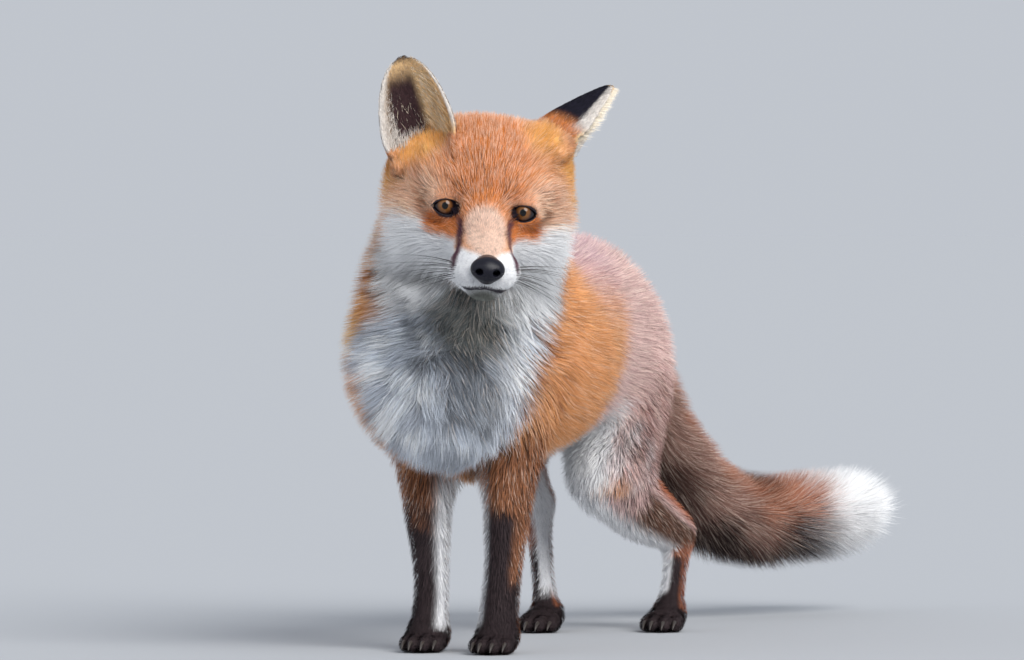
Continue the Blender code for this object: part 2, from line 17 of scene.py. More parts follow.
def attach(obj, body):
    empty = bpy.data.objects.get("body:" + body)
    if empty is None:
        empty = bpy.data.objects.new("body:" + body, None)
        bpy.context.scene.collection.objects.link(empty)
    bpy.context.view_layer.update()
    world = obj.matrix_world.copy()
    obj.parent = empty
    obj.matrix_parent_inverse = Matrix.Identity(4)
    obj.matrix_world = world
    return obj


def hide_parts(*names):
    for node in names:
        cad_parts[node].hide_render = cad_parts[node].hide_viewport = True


# ---- driving sizes

CELL = 0.003  # spacing of the grid for the trunk and legs; the rest has half of it
SPACE_LOW = (-0.12, -0.13, -0.02)  # the space that the fox stands in
SPACE_HIGH = (0.20, 0.84, 0.46)
SOFTENING = 2  # rounds of averaging that take the seams out of the trunk's forms
FLOOR = 0.004  # the height of the soles, in the frame that the forms are given in
SPAN_STEPS = 5  # pieces that the way between two stations is cut into
REACH = 0.04  # how far round a form its field is worked out
FAR = 1.0  # the field's value where no form is near

EYE_MIDDLE = Vector((0.082, -0.008, 0.327))  # the point midway between the eyes
HEAD_YAW = math.radians(27.8)  # the head is turned to the fox's left,
HEAD_PITCH = math.radians(11.0)  # its nose is lowered,
HEAD_ROLL = math.radians(5.3)  # and it is tilted towards its left side
EYE_RADIUS = 0.0098
EYE_CENTRE = (0.0283, 0.0072, 0.0006)  # of the left eye, in the head's frame
HEAD_PLACE = (
    Matrix.Translation(EYE_MIDDLE)
    @ Matrix.Rotation(HEAD_YAW, 4, "Z")
    @ Matrix.Rotation(HEAD_PITCH, 4, "X")
    @ Matrix.Rotation(HEAD_ROLL, 4, "Y")
)

# ---- the forms of the flesh

SIDEWAYS = (1.0, 0.0, 0.0)
LENGTHWAYS = (0.0, 1.0, 0.0)


def metres(values):
    """Millimetres as metres."""
    return np.round(np.array(values) / 1000, 7)


def flesh(blend, *stations, side=SIDEWAYS):
    """A form, from sizes in millimetres: how wide a fillet joins it to the rest, and its stations,
    each of x, y, z, half width, half height and coat depth. `side` is where its width lies."""
    return dict(side=side, blend=metres(blend), stations=metres(stations))


BODY_FORMS = {
    "trunk": flesh(0, (18, 57, 203, 62, 66, 30), (10, 108, 214, 74, 86, 28), (6, 199, 224, 76, 88, 22),
        (-3, 300, 232, 66, 82, 20), (-15, 390, 226, 63, 82, 20), (-22, 445, 209, 54, 63, 20)),
    "nape": flesh(40, (49, 55, 322, 56, 54, 24), (30, 98, 290, 60, 58, 26), (12, 150, 248, 62, 60, 24)),
    "ruff": flesh(40, (46, 50, 300, 68, 52, 30), (32, 56, 265, 73, 56, 32), (22, 66, 225, 72, 60, 32)),
    "front_leg_left": flesh(25, (50, 112, 200, 30, 38, 14), (52, 108, 160, 27, 30, 10),
        (53.6, 97, 115.5, 20.5, 22, 6), (52.9, 91, 71.5, 15.8, 17, 4.5), (51.3, 88, 42, 15.5, 16.5, 4),
        (52, 82, 18, 16.5, 16, 3)),
    "front_leg_right": flesh(25, (-18, 118, 200, 30, 38, 14), (-17, 112, 160, 27, 30, 10),
        (-12.1, 99, 115.5, 20.5, 22, 6), (-7.4, 94.5, 71.5, 15, 16.5, 4.5), (-6.8, 94, 42, 14, 16, 4),
        (-6.5, 88, 18, 16, 16, 3)),
    "thigh_left": flesh(30, (0, 420, 232, 30, 50, 16), (14, 405, 195, 33, 52, 14),
        (21, 376, 155, 33, 47, 12), (21, 350, 130, 28, 34, 10)),
    "thigh_right": flesh(30, (-40, 420, 232, 30, 50, 16), (-52, 398, 205, 32, 52, 14),
        (-58, 362, 176, 31, 45, 12), (-59, 330, 158, 27, 33, 10)),
    "shank_left": flesh(20, (21, 352, 128, 27, 33, 10), (26, 406, 101, 23, 30, 7),
        (32.5, 468, 80, 14, 18, 4)),
    "shank_right": flesh(20, (-59, 332, 156, 26, 32, 10), (-61, 374, 130, 20, 27, 7),
        (-62, 412, 103, 14, 18, 4)),
    "hind_foot_left": flesh(10, (32.5, 472, 78, 12.5, 15, 4), (38, 450, 48, 10.5, 13, 4),
        (43, 428, 20, 11.5, 13, 3)),
    "hind_foot_right": flesh(10, (-62, 412, 101, 13, 15, 4), (-50, 394, 56, 10, 12.5, 4),
        (-41, 382, 20, 11, 13, 3)),
    "tail": flesh(20, (-24, 462, 236, 29, 31, 18), (-21, 503, 192, 34, 36, 26),
        (-16, 528.5, 152, 40, 40, 31), (-5.5, 560.5, 117, 42, 42, 33), (5.5, 598, 93, 42, 42, 34),
        (23, 650, 82, 41, 41, 34), (45.8, 704, 83, 43, 43, 36), (59, 738, 86, 42, 42, 36),
        (69, 763, 89, 34, 34, 30)),
}

# The forms of the head stand in its own frame, whose origin is midway between the eyes.
HEAD_FORMS = {
    "cranium": flesh(30, (0, 36, 12, 42, 38, 8), (0, 62, 14, 48, 44, 12)),
    "crown": flesh(12, (-22, 58, 31, 28, 28, 10), (26, 52, 34, 30, 28, 10), side=LENGTHWAYS),
    "ear_root_right": flesh(14, (-44, 52, 8, 24, 22, 7), (-59.5, 47, 17, 9, 11, 3)),
    "ear_root_left": flesh(16, (38, 44, 28, 20, 22, 5), (55, 46, 48, 11, 12, 3)),
    "forehead": flesh(16, (0, 30, 14, 36, 32, 6), (0, 12, -2, 25, 23, 4), (0, -12, -12, 16.5, 16, 3)),
    "muzzle": flesh(12, (0, 6, -23, 26.5, 21, 5), (0, -26, -24, 21, 17.5, 3),
        (0, -56, -26, 17.8, 14.5, 2), (0, -66, -27.2, 14.5, 12.5, 1.5)),
    "lower_jaw": flesh(9, (0, -63, -44.5, 11.5, 8.5, 3), (0, -30, -44, 18, 11.5, 5),
        (0, 10, -42, 27, 19, 12)),
}

# The forms of the head that come in pairs, given for the left side.
HEAD_PAIRS = {
    "temple": flesh(14, (34, 40, 10, 28, 28, 10), (40, 58, 8, 31, 36, 18)),
    "cheek": flesh(20, (24, 21, -19, 21, 23, 6), (37, 46, -18, 32, 38, 18)),
    "brow": flesh(10, (17, 6, 14, 10, 10, 4), (34, 20, 14, 13, 12, 5)),
    "whisker_pad": flesh(11, (10.5, -66, -33.5, 10.5, 9.2, 2), (15, -46, -33.5, 12, 10, 2)),
}
HEAD_NAMES = (*HEAD_FORMS, *HEAD_PAIRS)

# An ear is a leaf with a hollow front. Its frame stands at the middle of its base: `along` runs to
# the tip, `facing` is where the hollow looks, both in the head's frame.
EARS = {
    "ear_right": dict(
        base=(-0.0440, 0.038, 0.034), along=(-0.024, 0.012, 0.066), facing=(-0.22, -0.95, 0.05),
        length=0.0695, half_width=0.0275, hollow=0.024, waist=0.16, outer_side=1,
    ),
    "ear_left": dict(
        base=(0.046, 0.050, 0.044), along=(0.044, 0.034, 0.042), facing=(0.72, -0.35, -0.60),
        length=0.068, half_width=0.027, hollow=0.036, waist=0.50, outer_side=-1,
    ),
}
EAR_THICKNESS = 0.0046
SKIN_EAR = 0.0028  # its thickness without its hair
EAR_THINNING = 0.45  # the share of its thickness that an ear loses up to its tip
EAR_POINT = 2.6  # the power of the curve of its edges: 2 is an ellipse, 1 a triangle
EAR_TAPER = 0.08  # the share of its width that it loses beside that
EAR_LEAST_WIDTH = 0.1  # its width at the tip, as a share of its greatest width
EAR_WIDEST = 0.33  # how far up an ear has its full width: below, its waist is left off
EAR_OPENING = 0.6  # the share of its hollow that it loses up to its tip
EAR_SET_BACK = 0.55  # the share of its hollow that lies behind its axis
EAR_ROOT = 0.15  # how far its leaf runs down into the head, as a share of its length
EAR_REACH = 0.075  # how far round an ear's middle its field is worked out
EAR_BLEND = 0.012

# A paw's frame stands on the floor below its ball, with its toes towards -y.
PAW_FORMS = {
    "ball": flesh(10, (0, 16, 12.5, 13.5, 12.5, 3), (0, -4, 10.5, 16.5, 11, 3)),
    "toe_1": flesh(3, (-11.5, -4, 8.5, 6.5, 8, 2), (-12.5, -17, 6.5, 6.2, 7, 2)),
    "toe_2": flesh(3, (-4.2, -8, 9.5, 6.5, 8.5, 2), (-4.8, -25, 6.8, 6.2, 7.2, 2)),
    "toe_3": flesh(3, (4.2, -8, 9.5, 6.5, 8.5, 2), (4.8, -25, 6.8, 6.2, 7.2, 2)),
    "toe_4": flesh(3, (11.5, -4, 8.5, 6.5, 8, 2), (12.5, -17, 6.5, 6.2, 7, 2)),
}
PAW_SIZE = 0.94

# Where each paw stands: x, y and the turn of its toes to the fox's left.
PAWS = {
    "front_left": (0.0530, 0.0770, math.radians(9)),
    "front_right": (-0.0055, 0.0830, math.radians(9)),
    "hind_left": (0.0445, 0.4160, math.radians(10)),
    "hind_right": (-0.0385, 0.3700, math.radians(6)),
}

# ---- sizes of the coat

SURVEY_STEPS = 2  # pieces between two stations when places on the skin are looked up
SURVEY_REACH = 0.050  # how far from a form a place may still belong to it
SURVEY_BLEND = 0.008  # over how much the lie of one form's hair passes into the next one's
HAIR_STARTS = (0.0, -0.086, -0.026)  # the hair of the head lies away from here
CHEEK_DROOP = 0.8  # how much it hangs down on the cheeks,
CHEEK_LOW = (0.0, 0.05)  # from this far below the eyes
CHEEK_BACK = (0.0, 0.04)  # and this far behind them
EYE_CLEARS = (0.010, 0.020)  # how far round an eye the hair turns aside from it,
EYE_TURNS = 1.4  # and how strongly
CHEST_NAMES = ("trunk", "ruff", "nape")
CHEST_HANGS = 0.6  # how much the hair hangs down on the sides of the chest,
CHEST_REACH = (0.05, 0.16)  # and how far back
CHEST_FACES = (-0.1, 0.5)  # how much the skin faces forwards where the hair of the chest hangs down
CHEST_MIDDLE = 0.046  # where that hair parts,
CHEST_PARTING = 5.0  # and how fast it turns outwards from there
CHEST_ENDS = 0.045  # how far back the piece of coat on the chest reaches
DROOP = 0.35  # how much the hair of the sides lies downwards
DROOP_STARTS = (0.06, 0.16)  # how far back it starts to,
TAIL_STARTS = 0.5  # and where it ends
SWIRL = 0.16  # radians that the lie of the hair wanders by
SWIRLS = ((1.0, 0.05, 11), (0.5, 0.015, 12))  # its waves: share, size and seed
CHEST_SWIRL = 0.22  # and how much more on the chest
WAVES = 7  # waves in a ripple
EAR_STARTS = 0.004  # how far up an ear its own hair starts
EAR_FUR_REACH = (0.002, 0.020)  # this near to an ear, the hair turns up along it
COAT_LIMITS = (0.0008, 0.040)  # of the coat's depth
EYE_SHORT = 0.45  # how much shorter the hair round the eyes is
MUZZLE_STARTS = (0.000, 0.034)
MUZZLE_SHORT = 0.58  # and that of the muzzle
SOLE = 0.004  # how far above the floor a paw's pads reach

LEAST_LENGTH = 0.0022  # of a tuft, where the coat has no depth
LENGTH_SPREAD = (0.70, 1.05)
RISE_SPREAD = (0.72, 1.18)  # how high a tuft's tip stands, as a share of the coat's depth
CROWDED_WIDTH = -0.30  # the power by which tufts get finer where they stand closer
TUFT_SPACING = 0.00062  # between tufts 5 mm long
SPACING_POWER = 0.42
TUFT_WIDTH = 0.00040  # of a tuft 10 mm long
WIDTH_POWER = 0.25
ROOT_DEPTH = 0.0004  # how far a tuft's root lies below the skin
MOST_MEND = 0.016  # the most that a step of a tuft is raised or lowered by
LEAST_REACH = 0.5  # how far along the skin a tuft runs at least, over its length
AIM_NEAR = 0.3  # nearer than this to its aim, over its reach, a tuft bends less
FLOOR_GAP = 0.0003  # between the hair and the floor
WIDTH_SPREAD = (0.7, 1.3)
ROLL = 0.5  # radians that a blade is turned by about its line
LOCK_SPACING = 0.040  # the spacing of locks over the square root of the tufts' length
LOCK_LOOSE = 0.45  # how far apart a lock's tips stay, over the distance of its roots
BLADE_OUTLINE = ((0.0, 0.3, 0.75, 1.0), (0.75, 1.0, 0.75, 0.0))
NORMAL_SHARE = 0.6  # how much of a blade's shading follows the skin below it
PATCH = 0.003  # the size of a tuft's patch of the map
SEEN_AT = 0.6  # how far along a tuft the marking that it shows is looked up,
MARKING_BLUR = 0.12  # and how far from there, over its length
TUFT_SHADE = 0.15  # how much tufts differ in lightness
UNDER_REACH = 0.45  # the share of a tuft that is darker, at its root
TIP_SHARE = 0.40  # of its colour in a pale tip
BODY_WANDER = 0.004  # how far the markings' edges wander,
FACE_WANDER = 0.0009  # and those of the face
BAND_WANDER = 0.03
LIP_EDGE = (0.0018, 0.0034)  # how far from the mouth the hair's dark edge fades
LIP_BARE = (0.0010, 0.0022)  # and where the hair starts
EYE_BARE = (0.85, 1.1)  # the same round an eye, as shares of its bare place,
NOSE_BARE = (0.9, 1.05)  # and round the nose
EYE_EDGE = (0.86, 1.06)  # where the dark rim of an eye fades
INNER_EAR_HAIR = 0.25  # the share of the coat that grows in the hollow of an ear
RUMP_STARTS = 0.31  # where the trunk's coat passes into the rump's,
NAPE_ENDS = 0.12  # and into the nape's
FACE_ENDS = 0.020  # and the face's into the crown's, in the head's frame
HEAD_ROOM = (0.12, 0.09, -0.12)  # the head ends within this: x, y and z
LIGHTNESS_LIMITS = (0.4, 1.6)
COLOUR_LIMITS = (0.004, 0.95)
ROOT_GREY = (0.95, 0.97, 1.05)  # the tone that the roots' colour is drawn towards
PALE_REACH = (0.35, 0.7)  # the shares of a tuft over which a pale tip sets in,
PALE_SPREAD = (0.4, 1.0)  # how pale it gets,
DARK_REACH = (0.2, 0.5)  # and where the darker band below it is,
DARK_BAND = 0.25  # and how dark
SKIN_SHADE = 0.45  # how much darker the skin is than the coat over it
SKIN_TRIANGLES = 120000

# ---- sizes of the details

LID_MIDDLE = (0.0281, -0.003, 0.0010)
BARE_EYE = (0.0112, 0.012, 0.0073)  # half the size of the bare place round an eye
LID_HALF_WIDTH = 0.0096
UPPER_LID = 0.0060  # the height of the opening above the eye's middle,
LOWER_LID = 0.0054  # and below it
INNER_CORNER_DROP = 0.0024
INNER_CORNER_REACH = 0.0016
LID_FLATTENING = 0.25  # how much flatter an opening is towards its corners than an oval
LID_FLESH = 0.0012
LID_BLEND = 0.006
SOCKET_BLEND = 0.001
LID_TURN = (-0.10, 0.03)  # where an opening looks, sideways and up
LID_SPREAD = 1.15
LID_SEGMENTS = 72
LID_PROFILE = ((0.98, -0.0010), (0.99, 0.0003), (1.02, 0.0008), (1.07, 0.0009), (1.12, 0.0001))
EYE_RINGS = 40
EYE_SEGMENTS = 48
CORNEA_BULGE = 0.0006
CORNEA_ANGLE = 0.62
PUPIL_SLIT = 1.15  # how much narrower than high a pupil is
PUPIL_RADIUS = 0.0026
IRIS_MIDDLE = (0.15, 0.06, 0.02)
IRIS_RINGS = (
    (0.28, (0.185, 0.075, 0.020)),
    (0.46, (0.150, 0.058, 0.018)),
    (0.58, (0.040, 0.018, 0.013)),
    (0.66, (0.010, 0.008, 0.012)),
)
IRIS_EDGE = (0.01, 0.008, 0.008)

NOSE_MIDDLE = (0.0, -0.082, -0.0262)
BARE_NOSE = (0.0128, 0.0130, 0.0100)
NOSE_REACH = 0.022
NOSE_CELL = 0.00045
NOSE_FORMS = (
    flesh(0, (0, -68, -25.5, 9.5, 8.5, 0), (0, -78.5, -23.8, 9.2, 6.6, 0)),
    flesh(4, (-6.8, -80, -26.2, 5.6, 5.4, 0), (6.8, -80, -26.2, 5.6, 5.4, 0), side=LENGTHWAYS),
    flesh(5, (0, -80.5, -28.5, 9.2, 7, 0), (0, -79, -32.8, 6.2, 4.6, 0)),
)
NOSTRILS = (
    ((0.0058, -0.0890, -0.0280), (0.0064, -0.0800, -0.0270), 0.0025),
    ((0.0072, -0.0878, -0.0290), (0.0118, -0.0835, -0.0298), 0.0016),
)
NOSE_GROOVE = ((0.0, -0.0893, -0.0270), (0.0, -0.0850, -0.0370), 0.0006)
NOSE_CUT_BLEND = 0.0012

LIP_LINE = (
    (0.0000, -0.0760, -0.0430),
    (0.0065, -0.0750, -0.0438),
    (0.0130, -0.0700, -0.0445),
    (0.0185, -0.0580, -0.0448),
    (0.0240, -0.0430, -0.0445),
    (0.0290, -0.0290, -0.0430),
)
LIP_RADIUS = 0.0018
LIP_POINTS = 24
WHISKERS = 16  # on each side
WHISKER_RADIUS = 0.00026
WHISKER_LENGTHS = (0.032, 0.050)
WHISKER_SAG = Vector((0, 0.25, -0.22))
CLAW_START = (-0.0035, 0.0085)  # from the middle of the toe's tip: y and height
CLAW_LENGTH = 0.0085
CLAW_DROP = 0.0060
CLAW_RADIUS = 0.0018
EAR_DARK = (-0.22, 0.88)  # the dark part of a hollow, between its inner edge, -1, and outer edge, 1
# The hair in the ears: the look, how many tufts, between which places across the ear and up it they
# start, their greatest length, and how much they lean towards the outer edge.
EAR_HAIR = (
    ("ear_pale", 2000, (0.74, 1.00), (0.02, 0.94), 0.0095, -0.8),
    ("ear_golden", 2000, (-1.00, -0.45), (0.02, 0.92), 0.0170, 0.9),
    ("ear_cream", 1500, (-0.95, -0.42), (0.05, 0.88), 0.0160, 0.9),
    ("ear_cream", 140, (-0.30, 0.70), (0.00, 0.80), 0.0120, 0.2),
    ("ear_pale", 400, (0.10, 0.90), (-0.04, 0.10), 0.0160, -0.2),
)
# The fringe along the front edge of the left ear, laid out in the same way.
EAR_FRINGE = ("ear_fringe", 2600, (-1.00, -0.86), (-0.06, 0.93), 0.0150, -2.2)
EAR_HAIR_WIDTHS = (0.00018, 0.00034)
EAR_HAIR_RISE = 0.30  # how far an ear's hair stands off it, over its length
EAR_HAIR_STRAY = 0.20
EAR_HAIR_SHADES = (0.6, 0.9, 1.0, 1.0)  # from its root to its tip

# ---- sizes of the studio

FLOOR_SIZE = 400.0
FLOOR_COLOUR = (0.488, 0.505, 0.531, 1)  # under the lights it takes on the tone of the sky
SKY_COLOUR = (0.53, 0.56, 0.61, 1)
CAMERA_HEADING = math.radians(24.0)
CAMERA_AIM = 0.1  # the x of the place that the camera's heading is measured from
CAMERA_DISTANCE = 5.5
CAMERA_HEIGHT = 0.314
CAMERA_TILT = math.atan(100 / 7645)
CAMERA_LENS = 268.8
# Each light's name, place, power, size in degrees and colour. They look at the fox.
LIGHTS = (
    ("key", (3.5, -2.3, 3.1), 2.9, 40.0, (1.0, 0.985, 0.96)),
    ("fill", (-1.3, -3.3, 1.6), 0.35, 60.0, (0.95, 0.97, 1.0)),
)
LIGHTS_AIM = Vector((0, 0, 0.25))
STANDS_AT = (0.0266, 0.3567, FLOOR)
TO_ROW = Matrix.Translation(-Vector(STANDS_AT))
ROW_HEAD = TO_ROW @ HEAD_PLACE

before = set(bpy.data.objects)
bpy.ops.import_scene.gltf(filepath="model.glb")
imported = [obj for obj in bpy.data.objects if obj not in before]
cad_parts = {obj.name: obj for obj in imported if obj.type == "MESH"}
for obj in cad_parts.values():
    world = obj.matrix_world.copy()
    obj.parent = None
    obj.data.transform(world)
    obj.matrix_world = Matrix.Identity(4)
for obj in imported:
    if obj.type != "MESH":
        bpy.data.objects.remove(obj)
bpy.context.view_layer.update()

# ---- fields of distance


def smooth_stations(stations, steps):
    """The stations with more put between them, on a smooth curve through them all."""
    rows = [2 * stations[0] - stations[1], *stations, 2 * stations[-1] - stations[-2]]
    smooth = []
    for a, b, c, d in zip(rows, rows[1:], rows[2:], rows[3:]):
        for step in range(steps):
            t = step / steps
            square = (2 * a - 5 * b + 4 * c - d) * t**2 / 2
            cube = (3 * b - a - 3 * c + d) * t**3 / 2
            smooth.append(b + (c - a) * t / 2 + square + cube)
    return smooth + [rows[-2]]


def stations_of(form, place, steps=SPAN_STEPS):
    """A form's smoothed stations and its side, moved out of the frame that it stands in."""
    stations, side = smooth_stations(form["stations"], steps), np.array(form["side"])
    if place is None:
        return stations, side
    turn = np.array(place.to_3x3())
    spot = np.array(place.translation)
    size = np.cbrt(abs(np.linalg.det(turn)))
    return [np.concatenate([turn @ row[:3] + spot, row[3:] * size]) for row in stations], turn @ side


def room_round(stations, reach):
    """The corners of the block of space that ends this far round some stations."""
    rows = np.array(stations)
    size = rows[:, 3:5].max() + reach
    return rows[:, :3].min(axis=0) - size, rows[:, :3].max(axis=0) + size


def unit(vector):
    return np.asarray(vector, float) / np.linalg.norm(vector)


def normalised(rows):
    return rows / np.maximum(np.linalg.norm(rows, axis=-1, keepdims=True), 1e-9)


def cone_field(points, start, end, side, full=False):
    """The distance to an oval cone between two stations, drawn in by its coat. With `full`, also how
    far along the cone each point is, and its place across it."""
    ahead = unit(end[:3] - start[:3])
    across = unit(side - np.dot(side, ahead) * ahead)
    axes = (across, np.cross(ahead, across), ahead)
    length = np.linalg.norm(end[:3] - start[:3])
    offset = points - start[:3].astype(np.float32)
    share = np.clip(offset @ ahead.astype(np.float32) / length, 0, 1)
    offset = offset - share[..., None] * (end[:3] - start[:3]).astype(np.float32)
    width, height, coat = (start[size] + (end[size] - start[size]) * share for size in (3, 4, 5))
    radii = (width - coat, height - coat, np.minimum(width - coat, height - coat))
    parts = [(offset @ axis.astype(np.float32), radius) for axis, radius in zip(axes, radii)]
    scaled = np.sqrt(sum((part / radius) ** 2 for part, radius in parts))
    steep = np.sqrt(sum((part / radius**2) ** 2 for part, radius in parts))
    distance = scaled * (scaled - 1) / np.maximum(steep, 1e-4)
    if full:
        return distance, share, np.arctan2(parts[1][0], parts[0][0])
    return distance


def melted(first, second, blend):
    """The union of two fields, with a fillet that starts where they are `blend` apart."""
    lower = np.minimum(first, second)
    if blend == 0:
        return lower
    close = np.maximum(blend - np.abs(first - second), 0)
    return lower - close**2 / (4 * blend)


class Grid:
    """A block of space with the field's value at every cell's corner."""

    def __init__(self, cell, first, values):
        self.cell = cell
        self.first = first
        self.values = values

    @classmethod
    def over(cls, low, high, cell):
        first = np.floor(np.asarray(low) / cell).astype(int)
        shape = np.ceil(np.asarray(high) / cell).astype(int) - first + 1
        return cls(cell, first, np.full(shape, FAR, np.float32))

    def window(self, low, high):
        """The slices of the grid between two corners, and the points there."""
        start = np.floor(np.asarray(low) / self.cell).astype(int) - self.first
        stop = np.ceil(np.asarray(high) / self.cell).astype(int) - self.first + 1
        spans = list(zip(*np.clip([start, stop], 0, self.values.shape)))
        ticks = [
            ((np.arange(*span) + origin) * self.cell).astype(np.float32)
            for span, origin in zip(spans, self.first)
        ]
        return tuple(slice(*span) for span in spans), np.stack(np.meshgrid(*ticks, indexing="ij"), axis=-1)

    def soften(self, rounds):
        """Each value becomes the mean of its neighbours along each axis in turn."""
        for axis in [0, 1, 2] * rounds:
            values = np.moveaxis(self.values, axis, 0)
            values[1:-1] = (values[:-2] + 2 * values[1:-1] + values[2:]) / 4

    def finer(self):
        """The same field on a grid of half the spacing."""
        values = self.values
        for axis in range(3):
            rough = np.moveaxis(values, axis, 0)
            fine = np.empty((2 * len(rough) - 1, *rough.shape[1:]), np.float32)
            fine[::2] = rough
            fine[1::2] = (rough[:-1] + rough[1:]) / 2
            values = np.moveaxis(fine, 0, axis)
        return Grid(self.cell / 2, self.first * 2, np.ascontiguousarray(values))

    def add(self, form, place=None, furred=False):
        """Melts a form into the field: its skin or, furred, the surface of its coat."""
        stations, side = stations_of(form, place)
        if furred:
            stations = [np.append(row[:5], 0.0) for row in stations]
        slices, _ = self.window(*room_round(stations, REACH))
        corner = np.array([part.start for part in slices])
        field = Grid(self.cell, self.first + corner, np.full(self.values[slices].shape, FAR, np.float32))
        for start, end in zip(stations, stations[1:]):
            near, points = field.window(*room_round((start, end), REACH))
            field.values[near] = np.minimum(field.values[near], cone_field(points, start, end, side))
        self.melt(slices, field.values, form["blend"])

    def melt(self, slices, values, blend):
        self.values[slices] = melted(self.values[slices], values, blend)

    def carve(self, low, high, field_of, blend):
        """Takes a shape away from the field."""
        slices, points = self.window(low, high)
        self.values[slices] = -melted(-self.values[slices], field_of(points), blend)

    def surface(self):
        """The points and faces of the surface where the field is zero."""
        volume = openvdb.FloatGrid(FAR)
        volume.copyFromArray(self.values)
        points, triangles, quads = volume.convertToPolygons(isovalue=0.0, adaptivity=0.0)
        return (points + self.first) * self.cell, triangles, quads


def ear_frame(ear):
    """The matrix from an ear's own frame to the head's: x across it, y its facing, z to the tip."""
    along = Vector(ear["along"]).normalized()
    facing = Vector(ear["facing"])
    facing = (facing - facing.dot(along) * along).normalized()
    turn = Matrix((facing.cross(along), facing, along)).transposed().to_4x4()
    return Matrix.Translation(ear["base"]) @ turn


def in_ear(points, ear):
    """The points in the ear's own frame."""
    to_ear = np.array((HEAD_PLACE @ ear_frame(ear)).inverted(), np.float32)
    return points.astype(np.float32) @ to_ear[:3, :3].T + to_ear[:3, 3]


def ear_leaf(across, along, ear):
    """The half width of the ear's leaf at each point, the nearest place across it, how far it bulges
    there, and the slope."""
    above = np.clip(along / ear["length"], 0, 1)
    outline = np.sqrt(np.maximum(1 - above**EAR_POINT, EAR_LEAST_WIDTH**2)) * (1 - EAR_TAPER * above)
    outline *= 1 - ear["waist"] * np.maximum(1 - above / EAR_WIDEST, 0) ** 2
    half_width = ear["half_width"] * outline
    over = np.clip(across, -half_width, half_width)
    hollow = ear["hollow"] * outline * (1 - EAR_OPENING * above)
    bulge = hollow * ((over / half_width) ** 2 - EAR_SET_BACK)
    return half_width, over, bulge, 2 * hollow * over / half_width**2


def ear_field(points, ear, thickness):
    """The distance to an ear's leaf."""
    own = in_ear(points, ear)
    across, facing, along = own[..., 0], own[..., 1], own[..., 2]
    share = np.clip(along / ear["length"], -EAR_ROOT, 1)
    _, over, bulge, slope = ear_leaf(across, along, ear)
    away = (facing - bulge) / np.sqrt(1 + slope**2)
    beyond = along - share * ear["length"]
    half_thickness = thickness / 2 * (1 - EAR_THINNING * np.maximum(share, 0))
    return np.sqrt((across - over) ** 2 + beyond**2 + away**2) - half_thickness


def paw_place(paw):
    x, y, turn = PAWS[paw]
    return Matrix.Translation((x, y, FLOOR)) @ Matrix.Rotation(turn, 4, "Z") @ Matrix.Scale(PAW_SIZE, 4)


def all_forms():
    """Every form with its name and the frame that it stands in, or None."""
    for name, form in BODY_FORMS.items():
        yield name, form, None
    for name, form in HEAD_FORMS.items():
        yield name, form, HEAD_PLACE
    for name, form in HEAD_PAIRS.items():
        for side in (1, -1):
            yield name, form, HEAD_PLACE @ Matrix.Diagonal((side, 1, 1, 1))
    for paw in PAWS:
        for name, form in PAW_FORMS.items():
            yield name, form, paw_place(paw)


def fox_field(furred):
    """The field of the fox's skin or, furred, of the surface of its coat."""
    rough = Grid.over(SPACE_LOW, SPACE_HIGH, CELL)
    for form in BODY_FORMS.values():
        rough.add(form, None, furred)
    rough.soften(SOFTENING)
    fine = rough.finer()
    for _, form, place in all_forms():
        if place is not None:
            fine.add(form, place, furred)
    for ear in EARS.values():
        middle = np.array(HEAD_PLACE @ (Vector(ear["base"]) + Vector(ear["along"]) / 2))
        slices, points = fine.window(middle - EAR_REACH, middle + EAR_REACH)
        fine.melt(slices, ear_field(points, ear, EAR_THICKNESS if furred else SKIN_EAR), EAR_BLEND)
    return fine


def eye_centre(side):
    return Vector((EYE_CENTRE[0] * side, EYE_CENTRE[1], EYE_CENTRE[2]))


def looking(centre, way):
    """The frame of something at a place that looks a way with its -y."""
    return Matrix.Translation(centre) @ way.to_track_quat("-Y", "Z").to_matrix().to_4x4()


def lid_frame(side):
    """The frame of an eye's lids, in the head's frame: its origin is the middle of the eyeball and
    -y goes out through the opening."""
    return looking(eye_centre(side), Vector((LID_TURN[0] * side, -1.0, LID_TURN[1])).normalized())


def add_lids(grid):
    """Lays lids over the eyeballs, with an opening in each."""
    middle = (UPPER_LID - LOWER_LID) / 2
    half_height = (UPPER_LID + LOWER_LID) / 2
    for side in (1, -1):
        to_lids = (HEAD_PLACE @ lid_frame(side)).inverted()
        centre = np.array(HEAD_PLACE @ lid_frame(side).translation)
        room = centre - 2 * EYE_RADIUS, centre + 2 * EYE_RADIUS

        def opening(points):
            x, y, z = np.moveaxis(moved(points, to_lids), -1, 0)
            oval = np.sqrt((x / LID_HALF_WIDTH) ** 2 + ((z - middle) / half_height) ** 2)
            return np.maximum((oval - 1) * half_height, y).astype(np.float32)

        slices, points = grid.window(*room)
        lids = np.linalg.norm(points - centre.astype(np.float32), axis=-1) - EYE_RADIUS - LID_FLESH
        grid.melt(slices, lids, LID_BLEND)
        grid.carve(*room, opening, SOCKET_BLEND)


